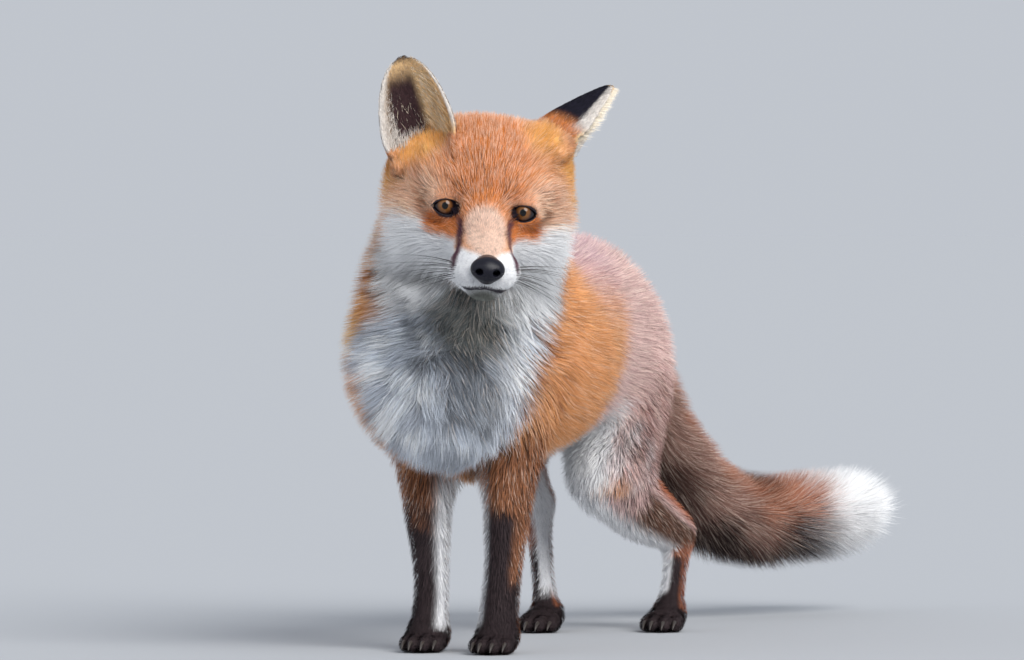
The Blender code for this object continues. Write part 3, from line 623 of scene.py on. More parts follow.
def sampled(grid, points):
    """The field's value at points anywhere."""
    spot = points / grid.cell - grid.first
    low = np.clip(np.floor(spot).astype(np.int64), 0, np.array(grid.values.shape) - 2)
    share = np.clip(spot - low, 0, 1).astype(np.float32)
    flat = grid.values.ravel()
    strides = (grid.values.shape[1] * grid.values.shape[2], grid.values.shape[2], 1)
    start = low @ np.array(strides)
    total = np.zeros(len(points), np.float32)
    for corner in range(8):
        bits = [corner >> axis & 1 for axis in range(3)]
        weight = np.ones(len(points), np.float32)
        for axis, bit in enumerate(bits):
            weight *= share[:, axis] if bit else 1 - share[:, axis]
        total += weight * flat[start + sum(bit * stride for bit, stride in zip(bits, strides))]
    return total


def outward(grid, points):
    """The way out of the skin at each point."""
    slope = np.empty_like(points)
    for axis in range(3):
        step = np.zeros(3)
        step[axis] = grid.cell
        slope[:, axis] = sampled(grid, points + step) - sampled(grid, points - step)
    return normalised(slope)


# ---- small helpers


def smooth_step(low, high, values):
    share = np.clip((values - low) / (high - low), 0, 1)
    return share * share * (3 - 2 * share)


def between(values, limits, edge):
    low, high = limits
    return smooth_step(low - edge, low + edge, values) * (1 - smooth_step(high - edge, high + edge, values))


def ripple(points, size, seed):
    """A smooth irregular value between about -1 and 1, with bumps of the given size."""
    waves = np.random.default_rng(seed)
    total = np.zeros(len(points))
    for _ in range(WAVES):
        direction = waves.normal(size=3)
        total += np.sin(points @ (direction / size * 2) + waves.uniform(0, 2 * math.pi))
    return total / math.sqrt(WAVES)


def moved(points, matrix):
    """Points taken through a matrix."""
    full = np.array(matrix)
    return points @ full[:3, :3].T + full[:3, 3]


def segment_distance(points, start, end):
    start, end = np.array(start), np.array(end)
    axis = end - start
    share = np.clip((points - start) @ axis / max(axis @ axis, 1e-12), 0, 1)
    return np.linalg.norm(points - start - share[:, None] * axis, axis=1)


def near_line(points, start, end, radius, edge):
    """1 within the radius of a line, falling to 0 over the edge."""
    return 1 - smooth_step(-edge, edge, segment_distance(points, start, end) - radius)


def out_of(points, middle, radii):
    """How far out each point is, as a share of an oval's radius."""
    return np.linalg.norm((points - np.array(middle)) / np.array(radii), axis=1)


def names_at(found):
    """The name of the form that each point belongs to."""
    return np.array([name for name, _, _ in all_forms()])[found["form"]]


# ---- what is known of each place


def head_lie(in_head):
    """The way that the head's hair lies, and how near each point is to an eye."""
    lie = normalised(in_head - np.array(HAIR_STARTS))
    droop = CHEEK_DROOP * smooth_step(*CHEEK_LOW, -in_head[:, 2])
    lie[:, 2] -= droop * smooth_step(*CHEEK_BACK, in_head[:, 1])
    side = np.where(in_head[:, :1] < 0, -1, 1) * (1, 0, 0) + (0, 1, 1)
    from_eye = in_head - np.array(LID_MIDDLE) * side
    near_eye = 1 - smooth_step(*EYE_CLEARS, np.linalg.norm(from_eye, axis=1))
    from_eye = normalised(from_eye)
    inwards = np.minimum(np.sum(lie * from_eye, axis=1), 0) * near_eye * EYE_TURNS
    lie -= from_eye * inwards[:, None]
    return lie @ np.array(HEAD_PLACE.to_3x3()).T, near_eye


def survey(points, normals, coat_grid):
    """What the coat needs to know at each point of the skin: the form that it belongs to, how far
    along it and round it, the depth of the coat, and the way that the hair lies."""
    count = len(points)
    in_head = moved(points, HEAD_PLACE.inverted())
    from_nose, near_eye = head_lie(in_head)
    found = dict(form=np.zeros(count, int), lie=np.zeros((count, 3)))
    found.update(along=np.zeros(count), angle=np.zeros(count))
    nearest = np.full(count, np.inf)
    for index, (name, form, place) in enumerate(all_forms()):
        stations, side = stations_of(form, place, SURVEY_STEPS)
        low, high = room_round(stations, SURVEY_REACH)
        near = np.flatnonzero(np.all((points > low) & (points < high), axis=1))
        if not len(near):
            continue
        local = points[near].astype(np.float32)
        best = np.full(len(near), np.inf)
        values = {key: np.zeros(len(near)) for key in ("along", "angle")}
        lie = np.zeros((len(near), 3))
        spans = list(zip(stations, stations[1:]))
        for number, (start, end) in enumerate(spans):
            distance, share, angle = cone_field(local, start, end, side, full=True)
            closer = distance < best
            best[closer] = distance[closer]
            values["along"][closer] = (number + share[closer]) / len(spans)
            values["angle"][closer] = angle[closer]
            lie[closer] = unit(end[:3] - start[:3])
        if name in HEAD_NAMES:
            lie = from_nose[near]
        weight = np.exp(-np.maximum(best, 0) / SURVEY_BLEND)
        found["lie"][near] += weight[:, None] * lie
        own = best < nearest[near]
        chosen = near[own]
        nearest[chosen] = best[own]
        found["form"][chosen] = index
        for key in ("along", "angle"):
            found[key][chosen] = values[key][own]
    found["coat"] = np.clip(-sampled(coat_grid, points), *COAT_LIMITS)
    found["short"] = 1 - EYE_SHORT * near_eye
    on_muzzle = smooth_step(*MUZZLE_STARTS, -in_head[:, 1]) * (in_head[:, 1] > -0.1) * (in_head[:, 2] > -0.07)
    found["short"] *= 1 - MUZZLE_SHORT * on_muzzle
    found["head"] = in_head
    found["ear"] = np.zeros(count, int)
    for number, ear in enumerate(EARS.values(), 1):
        away = ear_field(points.astype(np.float32), ear, SKIN_EAR)
        on = (away < EAR_FUR_REACH[0]) & (in_ear(points, ear)[:, 2] > EAR_STARTS)
        found["ear"][on] = number
        along = np.array(HEAD_PLACE.to_3x3() @ ear_frame(ear).to_3x3() @ Vector((0, 0, 1)))
        far = smooth_step(*EAR_FUR_REACH, away)
        found["lie"] = normalised(found["lie"]) * far[:, None] + along * (1 - far)[:, None]
    front = CHEST_HANGS + (1 - CHEST_HANGS) * smooth_step(*CHEST_FACES, -normals[:, 1])
    front *= np.isin(names_at(found), CHEST_NAMES) * (1 - smooth_step(*CHEST_REACH, points[:, 1]))
    down = np.stack([CHEST_PARTING * (points[:, 0] - CHEST_MIDDLE), np.zeros(count), -np.ones(count)], axis=1)
    found["lie"] = normalised(found["lie"]) * (1 - front)[:, None] + down * front[:, None]
    droop = smooth_step(*DROOP_STARTS, points[:, 1]) * (points[:, 1] < TAIL_STARTS)
    found["lie"][:, 2] -= DROOP * droop * (1 - np.abs(normals[:, 2]))
    found["lie"] = combed(found["lie"], normals, points, SWIRL + CHEST_SWIRL * np.clip(front, 0, 1))
    return found


def flattened(ways, normals):
    """The part of each way that runs along the surface."""
    return normalised(ways - normals * np.sum(ways * normals, axis=1, keepdims=True))


def combed(lie, normals, points, swirl):
    """The lie of the hair along the skin, with the swirls that no comb takes out."""
    lie = flattened(lie, normals)
    turn = swirl * sum(share * ripple(points, size, seed) for share, size, seed in SWIRLS)
    return lie * np.cos(turn)[:, None] + np.cross(normals, lie) * np.sin(turn)[:, None]


# ---- markings, with some painted shade


def linear(red, green, blue):
    """A colour given on the screen's scale of 0 to 255, as light."""
    return np.array([(value / 255) ** 2.2 for value in (red, green, blue)])


def look(red, green, blue, pale, under):
    """A look: its colour as light, the share of hairs with pale tips, and how dark their roots are."""
    return np.array([*linear(red, green, blue), pale, under])


def strokes(*rows):
    """Strokes of one look over another, in millimetres: look, start, end, radius and edge."""
    return [(look, *map(metres, sizes)) for look, *sizes in rows]


PALE_TIP = linear(226, 206, 190)
LOOKS = {
    "flank": look(210, 150, 104, 0.15, 0.5),
    "nape": look(200, 140, 104, 0.3, 0.45),
    "shoulder": look(216, 150, 100, 0.12, 0.45),
    "back": look(186, 152, 160, 0.5, 0.5),
    "haunch": look(198, 164, 160, 0.42, 0.5),
    "rufous": look(156, 104, 74, 0.2, 0.5),
    "leg_orange": look(160, 98, 72, 0.1, 0.4),
    "shank_dark": look(100, 72, 60, 0.25, 0.5),
    "white": look(252, 252, 254, 0, 0.22),
    "chest": look(218, 224, 234, 0, 0.7),
    "chest_grey": look(84, 90, 98, 0.1, 0.85),
    # painted shade: the pale fur under the jaw darkened to the grey of its shade
    "throat_painted_shade": look(122, 126, 124, 0.2, 0.8),
    "black": look(62, 52, 54, 0, 0.4),
    "face": look(212, 146, 100, 0.35, 0.4),
    "crown": look(222, 170, 142, 0.45, 0.5),
    "forehead": look(200, 117, 55, 0.55, 0.55),
    "temple": look(232, 182, 150, 0.4, 0.45),
    "golden": look(232, 168, 96, 0.1, 0.35),
    "eye_orange": look(214, 128, 72, 0.1, 0.3),
    "brow": look(214, 146, 104, 0.4, 0.4),
    "stop": look(212, 132, 76, 0.15, 0.4),
    "bridge": look(228, 194, 174, 0, 0.15),
    "tear": look(86, 58, 68, 0, 0.3),
    "eye_rim": look(40, 32, 40, 0, 0.1),
    # painted shade: the fur below the mouth darkened to grey
    "chin_painted_shade": look(116, 118, 112, 0, 0.4),
    "ear_black": look(34, 32, 44, 0, 0.3),
    "ear_hollow": look(62, 44, 46, 0, 0.5),
    "ear_pale": look(222, 214, 206, 0, 0.4),
    "ear_orange": look(214, 132, 74, 0.1, 0.4),
    "ear_fringe": look(246, 236, 218, 0, 0.3),
    "ear_cream": look(236, 220, 196, 0, 0.4),
    "ear_golden": look(232, 192, 140, 0.1, 0.4),
    "tail_side": look(130, 98, 88, 0.22, 0.6),
    "tail_rufous": look(152, 98, 76, 0.18, 0.6),
    "tail_black": look(52, 40, 38, 0.1, 0.4),
    "pad": look(38, 34, 34, 0, 0.1),
}

# Strokes in the frame of the forms.
BODY_STROKES = strokes(
    ("nape", (50, 110, 360), (20, 140, 310), 60, 20),
    ("shoulder", (80, 120, 250), (75, 200, 190), 60, 20),
    ("back", (2, 260, 328), (-20, 470, 285), 78, 34),
    ("haunch", (-20, 425, 225), (-20, 520, 200), 100, 32),
    ("haunch", (40, 365, 250), (45, 330, 170), 52, 16),
    ("haunch", (45, 350, 170), (45, 440, 105), 46, 12),
    ("haunch", (-80, 365, 250), (-85, 330, 180), 52, 16),
    ("haunch", (-85, 350, 180), (-80, 420, 120), 44, 12),
    ("white", (0, 200, 130), (-12, 350, 135), 42, 8),
    ("white", (4, 335, 165), (10, 380, 105), 38, 10),
    ("chest", (80, 0, 290), (52, -4, 165), 58, 8),
    ("chest", (62, 10, 240), (40, 20, 140), 62, 8),
    ("chest", (0, 0, 240), (-30, 24, 225), 22, 8),
    ("chest", (12, 10, 200), (2, 28, 140), 37, 8),
    ("golden", (-36, 46, 320), (-46, 52, 245), 27, 8),
    ("white", (122, 10, 290), (106, 26, 145), 42, 10),
    ("chest_grey", (86, -14, 280), (76, -4, 215), 34, 22),
    ("chest_grey", (76, -4, 215), (68, 6, 140), 28, 22),
)

# Strokes in the head's frame, for the left half of the face and mirrored.
HEAD_STROKES = strokes(
    ("crown", (0, 50, 60), (28, 50, 60), 34, 12),
    ("forehead", (0, 4, 16), (0, 34, 44), 32, 12),
    ("temple", (46, 12, 4), (70, 36, 0), 20, 9),
    ("golden", (40, 40, 46), (62, 50, 16), 17, 8),
    ("white", (34, -10, -34), (80, 40, -32), 23, 6),
    ("white", (40, 20, -50), (60, 45, -55), 28, 8),
    # painted shade under the jaw, down the front of the neck
    ("throat_painted_shade", (0, -30, -66), (0, 40, -84), 28, 10),
    ("eye_orange", (22, -12, -10), (37, 3, -10), 9, 3),
    ("brow", (15, -6, 9), (32, 3, 10), 4.8, 3),
    ("stop", (0, -4, 4), (0, -24, -4), 12, 5),
    ("bridge", (0, -22, -4), (0, -45, -8), 16, 4),
    ("bridge", (0, -45, -8), (0, -74, -16), 12.5, 4),
    ("white", (16, -74, -29), (28, -38, -32), 14, 3),
    ("white", (0, -80, -38), (14, -74, -37), 7, 3),
    ("tear", (17, -5, -3), (18.8, -22, -11.8), 3, 2.2),
    ("tear", (18.8, -22, -11.8), (20.2, -36, -19.8), 4.2, 3),
    ("tear", (20.2, -36, -19.8), (21.4, -48, -24.2), 5, 3.8),
    ("tear", (21.4, -48, -24.2), (23.2, -58, -29), 4.2, 4.2),
    ("tear", (22.5, -36, -37.5), (29, -22, -32), 1.6, 2.2),
    ("white", (22, -30, -52), (30, 0, -58), 18, 4),
    ("white", (0, -72, -50), (0, -30, -54), 21, 4),
    # painted shade below the mouth
    ("chin_painted_shade", (0, -72, -60), (0, -10, -66), 18, 5),
    ("eye_rim", (0, -86, -36), (0, -77, -44), 0.6, 1),
)

# Bands round the legs and the tail: look, the forms' first letters, and the lowest and highest
# share along them, facing forwards (or down, on the tail) and facing the left side.
ALL = (-9.0, 9.0)
BANDS = (
    ("rufous", "front_leg", (0.12, 9.0), ALL, ALL),
    ("black", "front_leg", (0.42, 9.0), (-0.45, 9.0), ALL),
    ("rufous", "front_leg_left", (0.30, 0.66), ALL, (0.75, 9.0)),
    ("white", "front_leg_left", (0.15, 0.97), (-0.75, 0.70), (-9.0, -0.45)),
    ("white", "front_leg_right", (0.15, 0.97), (-0.75, 0.70), (0.45, 9.0)),
    ("haunch", "shank", ALL, ALL, ALL),
    ("shank_dark", "shank", (0.25, 9.0), (-0.3, 9.0), ALL),
    ("leg_orange", "shank", (0.35, 9.0), (-9.0, -0.60), ALL),
    ("white", "shank_left", ALL, (0.10, 9.0), (-9.0, 0.45)),
    ("white", "shank_right", ALL, (-0.35, 9.0), (-0.1, 9.0)),
    ("leg_orange", "hind_foot", ALL, ALL, ALL),
    ("black", "hind_foot", (0.35, 9.0), (0.45, 9.0), ALL),
    ("white", "hind_foot_left", (-9.0, 0.85), (-0.6, 9.0), (-9.0, 0.0)),
    ("white", "hind_foot_right", (-9.0, 0.85), (-0.6, 9.0), (0.0, 9.0)),
    ("black", "ball", ALL, ALL, ALL),
    ("black", "toe", ALL, ALL, ALL),
    ("tail_side", "tail", (0.03, 9.0), ALL, ALL),
    ("tail_rufous", "tail", (0.03, 9.0), (-9.0, -0.20), ALL),
    ("tail_black", "tail", (0.00, 0.62), (-9.0, -0.88), ALL),
    # The black that faces down on the tail is partly its dark hair and partly painted shade, where it faces
    # the floor.
    ("tail_black", "tail", (0.10, 0.34), (0.88, 9.0), ALL),
    ("tail_black", "tail", (0.34, 9.0), (0.58, 9.0), ALL),
    ("tail_black", "tail", (0.56, 0.72), (-0.10, 9.0), ALL),
    ("white", "tail", (0.715, 9.0), ALL, ALL),
)
BAND_EDGES = dict(along=0.06, fore=0.25, side=0.25)
EAR_EDGES = (0.22, 0.14)  # of the dark part of an ear's hollow, across the ear and along it


def markings(points, found):
    """The colour, the share of pale tips and the darkness of the roots at each point."""
    names = names_at(found)
    in_face = np.isin(names, HEAD_NAMES)
    paint = np.where(in_face[:, None], LOOKS["face"], LOOKS["flank"])

    def lay(weight, look, where=slice(None)):
        paint[where] += (LOOKS[look] - paint[where]) * weight[:, None]

    wander = np.stack([ripple(points, 0.018, seed) for seed in (21, 22, 23)], axis=1)
    warped = points + wander * BODY_WANDER
    for look, *stroke in BODY_STROKES:
        lay(near_line(warped, *stroke) * ~in_face, look)
    places = dict(
        along=found["along"] + BAND_WANDER * ripple(points, 0.012, 24),
        fore=np.sin(found["angle"]),
        side=np.cos(found["angle"]),
    )
    for look, form, *limits in BANDS:
        on = np.flatnonzero(np.char.startswith(names, form))
        weight = np.ones(len(on))
        for (key, edge), reach in zip(BAND_EDGES.items(), limits):
            weight *= between(places[key][on], reach, edge)
        lay(weight, look, on)
    face = moved(points, HEAD_PLACE.inverted())
    x, y, z = face.T
    near_face = np.flatnonzero((np.abs(x) < HEAD_ROOM[0]) & (y < HEAD_ROOM[1]) & (z > HEAD_ROOM[2]))
    face = face[near_face] + wander[near_face] * FACE_WANDER
    face[:, 0] = np.abs(face[:, 0])
    for look, *stroke in HEAD_STROKES:
        lay(near_line(face, *stroke), look, near_face)
    for start, end in zip(LIP_LINE, LIP_LINE[1:]):
        lay(1 - smooth_step(*LIP_EDGE, segment_distance(face, start, end)), "eye_rim", near_face)
    lay(1 - smooth_step(*EYE_EDGE, out_of(face, LID_MIDDLE, BARE_EYE)), "eye_rim", near_face)
    for number, ear in enumerate(EARS.values(), 1):
        on = np.flatnonzero(found["ear"] == number)
        own = in_ear(points[on], ear)
        half_width, _, bulge, _ = ear_leaf(own[:, 0], own[:, 2], ear)
        share = own[:, 2] / ear["length"]
        outer = own[:, 0] / half_width * ear["outer_side"]
        inner = own[:, 1] > bulge
        dark = between(outer, EAR_DARK, EAR_EDGES[0]) * between(share, (0.02, 0.84), EAR_EDGES[1])
        lay(~inner * smooth_step(0.02, 0.12, share), "ear_orange", on)
        lay(~inner * smooth_step(0.16, 0.34, share), "ear_black", on)
        lay(inner * smooth_step(0.02, 0.14, share), "ear_golden", on)
        lay(inner * dark, "ear_hollow", on)
        lay(inner * smooth_step(0.78, 0.92, outer), "ear_pale", on)
        lay(smooth_step(0.90, 0.98, np.abs(outer)) * smooth_step(0.1, 0.3, share), "ear_pale", on)
        lay(smooth_step(0.93, 1.0, share) * 0.8, "ear_hollow", on)
    return paint[:, :3], paint[:, 3], paint[:, 4]


# ---- the coat


def scatter(surface, density, rng):
    """Roots on the faces of a surface, spread evenly within each face: their places and faces."""
    corners, areas = surface
    number = np.floor(density * areas + rng.random(len(areas))).astype(int)
    face = np.repeat(np.arange(len(areas)), number)
    u, v = rng.random((2, len(face), 1))
    a, b, c, d = (corners[face, side] for side in range(4))
    return (a * (1 - u) + b * u) * (1 - v) + (d * (1 - u) + c * u) * v, face


def march(roots, normals, lie, coat, length, rise, grid, coat_grid, steps, lift, aim=None, aim_share=0.0):
    """The line of each tuft: it leaves the skin, bends over along the lie and ends `rise` of the
    coat's depth above the skin. With `aim` it also turns towards a point there."""
    line = [roots - normals * ROOT_DEPTH]
    reach = np.sqrt(np.maximum(length**2 - (coat * rise) ** 2, (LEAST_REACH * length) ** 2))
    spot, way = roots, lie
    for step in range(1, steps + 1):
        share = step / steps
        if aim is not None:
            to_aim = aim - spot
            far = np.maximum(np.linalg.norm(to_aim, axis=1, keepdims=True), 1e-6)
            bend = aim_share * share * np.minimum(far / (AIM_NEAR * reach[:, None]), 1)
            way = normalised(way * (1 - bend) + to_aim / far * bend)
        spot = spot + way * (reach / steps)[:, None]
        height = rise * share**lift
        up = outward(grid, spot)
        above = sampled(grid, spot)
        below = np.maximum(-sampled(coat_grid, spot), -0.9 * np.abs(above))
        off = np.clip(height * (above + below) - above, -MOST_MEND, MOST_MEND)
        spot = spot + up * off[:, None]
        way = flattened(way, up)
        line.append(spot)
    return np.stack(line, axis=1)


def blades(lines, normals, widths, roll):
    """Flat tapering blades along lines of points: their points, by tuft and level and side."""
    count, levels = lines.shape[:2]
    ways = normalised(np.gradient(lines, axis=1))
    across = normalised(np.cross(ways, normals[:, None, :]))
    lifted = np.cross(across, ways)
    across = across * np.cos(roll)[:, None, None] + lifted * np.sin(roll)[:, None, None]
    shares = np.interp(np.linspace(0, 1, levels), *BLADE_OUTLINE)
    half = across * (widths[:, None] * shares / 2)[..., None]
    points = np.stack([lines - half, lines + half], axis=2).reshape(count, -1, 3)[:, :-1]
    points[:, -1] = lines[:, -1]
    return points


def blade_faces(count, levels):
    """Triangles of blades with that many levels, the last of one point."""
    each = []
    for level in range(levels - 2):
        low = 2 * level
        each += [(low, low + 1, low + 3), (low, low + 3, low + 2)]
    low = 2 * (levels - 2)
    each.append((low, low + 1, low + 2))
    size = 2 * levels - 1
    return (np.arange(count)[:, None, None] * size + np.array(each)).reshape(-1, 3)


def mesh_from(name, points, faces):
    """A mesh object of triangles or quads."""
    mesh = bpy.data.meshes.new(name)
    count, sides = faces.shape
    mesh.vertices.add(len(points))
    mesh.vertices.foreach_set("co", np.ascontiguousarray(points, np.float32).ravel())
    mesh.loops.add(count * sides)
    mesh.loops.foreach_set("vertex_index", np.ascontiguousarray(faces, np.int32).ravel())
    mesh.polygons.add(count)
    mesh.polygons.foreach_set("loop_start", np.arange(0, count * sides, sides, dtype=np.int32))
    mesh.update(calc_edges=True)
    mesh.shade_smooth()
    obj = bpy.data.objects.new(name, mesh)
    bpy.context.scene.collection.objects.link(obj)
    return obj


def set_colours(obj, colours):
    layer = obj.data.color_attributes.new("coat_colour", "FLOAT_COLOR", "POINT")
    full = np.ones((len(colours), 4), np.float32)
    full[:, :3] = colours
    layer.data.foreach_set("color", full.ravel())


def set_normals(obj, normal):
    """Makes the blades shade more like the rounded fur that they are part of."""
    count = len(obj.data.vertices)
    own = np.empty(count * 3, np.float32)
    obj.data.vertices.foreach_get("normal", own)
    own = own.reshape(-1, 3)
    skin = np.repeat(normal, count // len(normal), axis=0)
    own *= np.sign(np.sum(own * skin, axis=1, keepdims=True))
    mixed = normalised(own * (1 - NORMAL_SHARE) + skin * NORMAL_SHARE)
    layer = obj.data.attributes.new("custom_normal", "FLOAT_VECTOR", "POINT")
    layer.data.foreach_set("vector", mixed.astype(np.float32).ravel())


def coat_piece(name, lines, normals, widths, roll, colours, at):
    """A piece of the coat: blades along lines, with the colour at each of their levels. Each has a
    small patch of the map that the coat's colours are baked by."""
    count, levels = lines.shape[:2]
    size = 2 * levels - 1
    points = moved(blades(lines, normals, widths, roll).reshape(-1, 3), TO_ROW)
    obj = mesh_from(name, points, blade_faces(count, levels))
    set_colours(obj, np.repeat(colours, 2, axis=1)[:, :-1].reshape(-1, 3))
    sides = np.tile([-0.5, 0.5], levels)[:size]
    sides[-1] = 0.0
    ups = np.repeat(np.linspace(0, 1, levels), 2)[:size]
    at = (at[:, None, :] + np.stack([sides, ups], axis=1) * PATCH).reshape(-1, 2)
    layer = obj.data.uv_layers.new(name="OFBake")
    vertex = np.empty(len(obj.data.loops), np.int32)
    obj.data.loops.foreach_get("vertex_index", vertex)
    layer.data.foreach_set("uv", at[vertex].astype(np.float32).ravel())
    dress(obj, "coat")
    return obj


def unwrapped(found, face, members):
    """Where each root lies on the skin, laid out flat: every form is a strip of the map, as wide as
    the turn round the form and as high as its length."""
    order = {form: slot for slot, form in enumerate(sorted(set(found["form"][members])))}
    slot = np.array([order.get(form, 0) for form in found["form"]])[face]
    u = (slot + (found["angle"][face] / math.pi + 1) / 2) / len(order)
    return np.stack([0.005 + 0.99 * u, 0.005 + 0.985 * found["along"][face]], axis=1)


def tuft_colours(lines, base, pale, under, rng, clump):
    """The colour of every point of the blades: dark at the root, then the marking's colour, and on
    some a pale tip. Tufts of one lock differ less than tufts of two."""
    count, levels = lines.shape[:2]
    lightness = 1 + clump + TUFT_SHADE * rng.normal(size=count)
    share = np.linspace(0, 1, levels)[None, :, None]
    colour = base[:, None, :] * np.clip(lightness, *LIGHTNESS_LIMITS)[:, None, None]
    root = 1 - under[:, None, None] * (1 - np.clip(share / UNDER_REACH, 0, 1))
    grey = colour.mean(axis=2, keepdims=True) * np.array(ROOT_GREY)
    colour = np.where(share < UNDER_REACH, 0.5 * colour + 0.5 * grey, colour) * root
    tipped = (rng.random(count) < pale)[:, None, None]
    blend = smooth_step(*PALE_REACH, share) * tipped * rng.uniform(*PALE_SPREAD, count)[:, None, None]
    colour = colour * (1 - blend) + (colour * TIP_SHARE + PALE_TIP) * blend
    band = (tipped & (share > DARK_REACH[0]) & (share < DARK_REACH[1])) * DARK_BAND
    return np.clip(colour * (1 - band), *COLOUR_LIMITS)


# Pieces of the coat: how many segments a tuft has, how many tufts the piece may hold, how much
# longer than the coat's depth a tuft is, how late it rises, how much it bends to its lock's tip, how
# widely the tufts stray, how much the locks differ in shade, and how much broader and how much
# higher its tufts are than elsewhere.
COAT_PIECES = {
    "coat_face": (2, 65000, 1.75, 0.65, 0.20, 0.13, 0.08, 1.0, 1.0),
    "coat_crown": (2, 64000, 1.65, 0.75, 0.25, 0.15, 0.12, 1.0, 1.0),
    "coat_chest": (3, 39000, 1.20, 1.00, 0.60, 0.30, 0.32, 1.0, 1.0),
    "coat_nape": (3, 24000, 1.45, 0.95, 0.40, 0.20, 0.16, 1.15, 1.05),
    "coat_barrel": (2, 62000, 1.55, 0.90, 0.35, 0.18, 0.14, 1.0, 1.0),
    "coat_rump": (2, 59000, 1.55, 0.90, 0.35, 0.18, 0.14, 1.0, 1.0),
    "coat_legs": (2, 40000, 1.75, 0.70, 0.20, 0.13, 0.10, 1.0, 1.0),
    "coat_tail": (2, 65000, 1.42, 0.50, 0.18, 0.07, 0.12, 1.35, 1.12),
    "coat_ears": (2, 16000, 1.75, 0.65, 0.20, 0.13, 0.08, 1.0, 1.0),
}


def piece_of(centres, found):
    """The piece of the coat that each face of the skin belongs to, by number."""
    names = names_at(found)
    chosen = np.full(len(centres), "coat_barrel")
    x, y, _ = centres.T
    chosen[(names == "trunk") & (y > RUMP_STARTS) | np.char.startswith(names, "thigh")] = "coat_rump"
    chosen[(names == "trunk") & (y < NAPE_ENDS) | np.isin(names, ["nape", "ruff"])] = "coat_nape"
    chosen[np.isin(names, CHEST_NAMES) & (y < CHEST_ENDS - 0.25 * (x - 0.05))] = "coat_chest"
    for start in ("front_leg", "shank", "hind_foot", "ball", "toe"):
        chosen[np.char.startswith(names, start)] = "coat_legs"
    chosen[names == "tail"] = "coat_tail"
    in_face = np.isin(names, HEAD_NAMES)
    chosen[in_face] = "coat_crown"
    chosen[in_face & (found["head"][:, 1] < FACE_ENDS)] = "coat_face"
    chosen[found["ear"] > 0] = "coat_ears"
    numbers = {piece: number for number, piece in enumerate(COAT_PIECES)}
    return np.array([numbers[piece] for piece in chosen])


def bare(centres, normals, found):
    """The share of the hair that is left off: at the eyes, the nose, the lips and the pads."""
    head = found["head"] * np.where(found["head"][:, :1] < 0, (-1, 1, 1), 1)
    left = smooth_step(*EYE_BARE, out_of(head, LID_MIDDLE, BARE_EYE))
    left *= smooth_step(*NOSE_BARE, out_of(head, NOSE_MIDDLE, BARE_NOSE))
    for start, end in zip(LIP_LINE, LIP_LINE[1:]):
        left *= smooth_step(*LIP_BARE, segment_distance(head, start, end))
    sole = (centres[:, 2] < FLOOR + SOLE) & (normals[:, 2] < -0.5)
    inner_ear = np.zeros(len(centres), bool)
    for number, ear in enumerate(EARS.values(), 1):
        own = in_ear(centres, ear)
        _, _, bulge, _ = ear_leaf(own[:, 0], own[:, 2], ear)
        inner_ear |= (found["ear"] == number) & (own[:, 1] > bulge)
    return left * ~sole * np.where(inner_ear, INNER_EAR_HAIR, 1.0)


def spacing_of(length):
    return TUFT_SPACING * (length / 0.005) ** SPACING_POWER


def grow_coat(grid, coat_grid, surface):
    """Makes every piece of the coat over the skin."""
    points, _, quads = surface
    corners = points[quads]
    diagonal_a, diagonal_b = corners[:, 2] - corners[:, 0], corners[:, 3] - corners[:, 1]
    normals = np.cross(diagonal_b, diagonal_a)
    areas = np.linalg.norm(normals, axis=1) / 2
    normals = normals / np.maximum(2 * areas, 1e-12)[:, None]
    centres = corners.mean(axis=1)
    found = survey(centres, normals, coat_grid)
    piece = piece_of(centres, found)
    growth = np.array([piece[2] for piece in COAT_PIECES.values()])[piece]
    length = (LEAST_LENGTH + growth * found["coat"]) * found["short"]
    density = bare(centres, normals, found) / spacing_of(length) ** 2
    for number, (name, (steps, most, _, lift, *manner)) in enumerate(COAT_PIECES.items()):
        rng = np.random.default_rng(100 + number)
        members = np.flatnonzero(piece == number)
        wanted = float(np.sum(density[members] * areas[members]))
        crowding = most / wanted
        roots, own = scatter((corners[members], areas[members]), density[members] * crowding, rng)
        face = members[own]
        roots, face = roots[:most], face[:most]
        shape = dict(grid=grid, coat_grid=coat_grid, steps=steps, lift=lift)
        build_piece(name, shape, (*manner, crowding), roots, face, normals, found, length, members, rng)


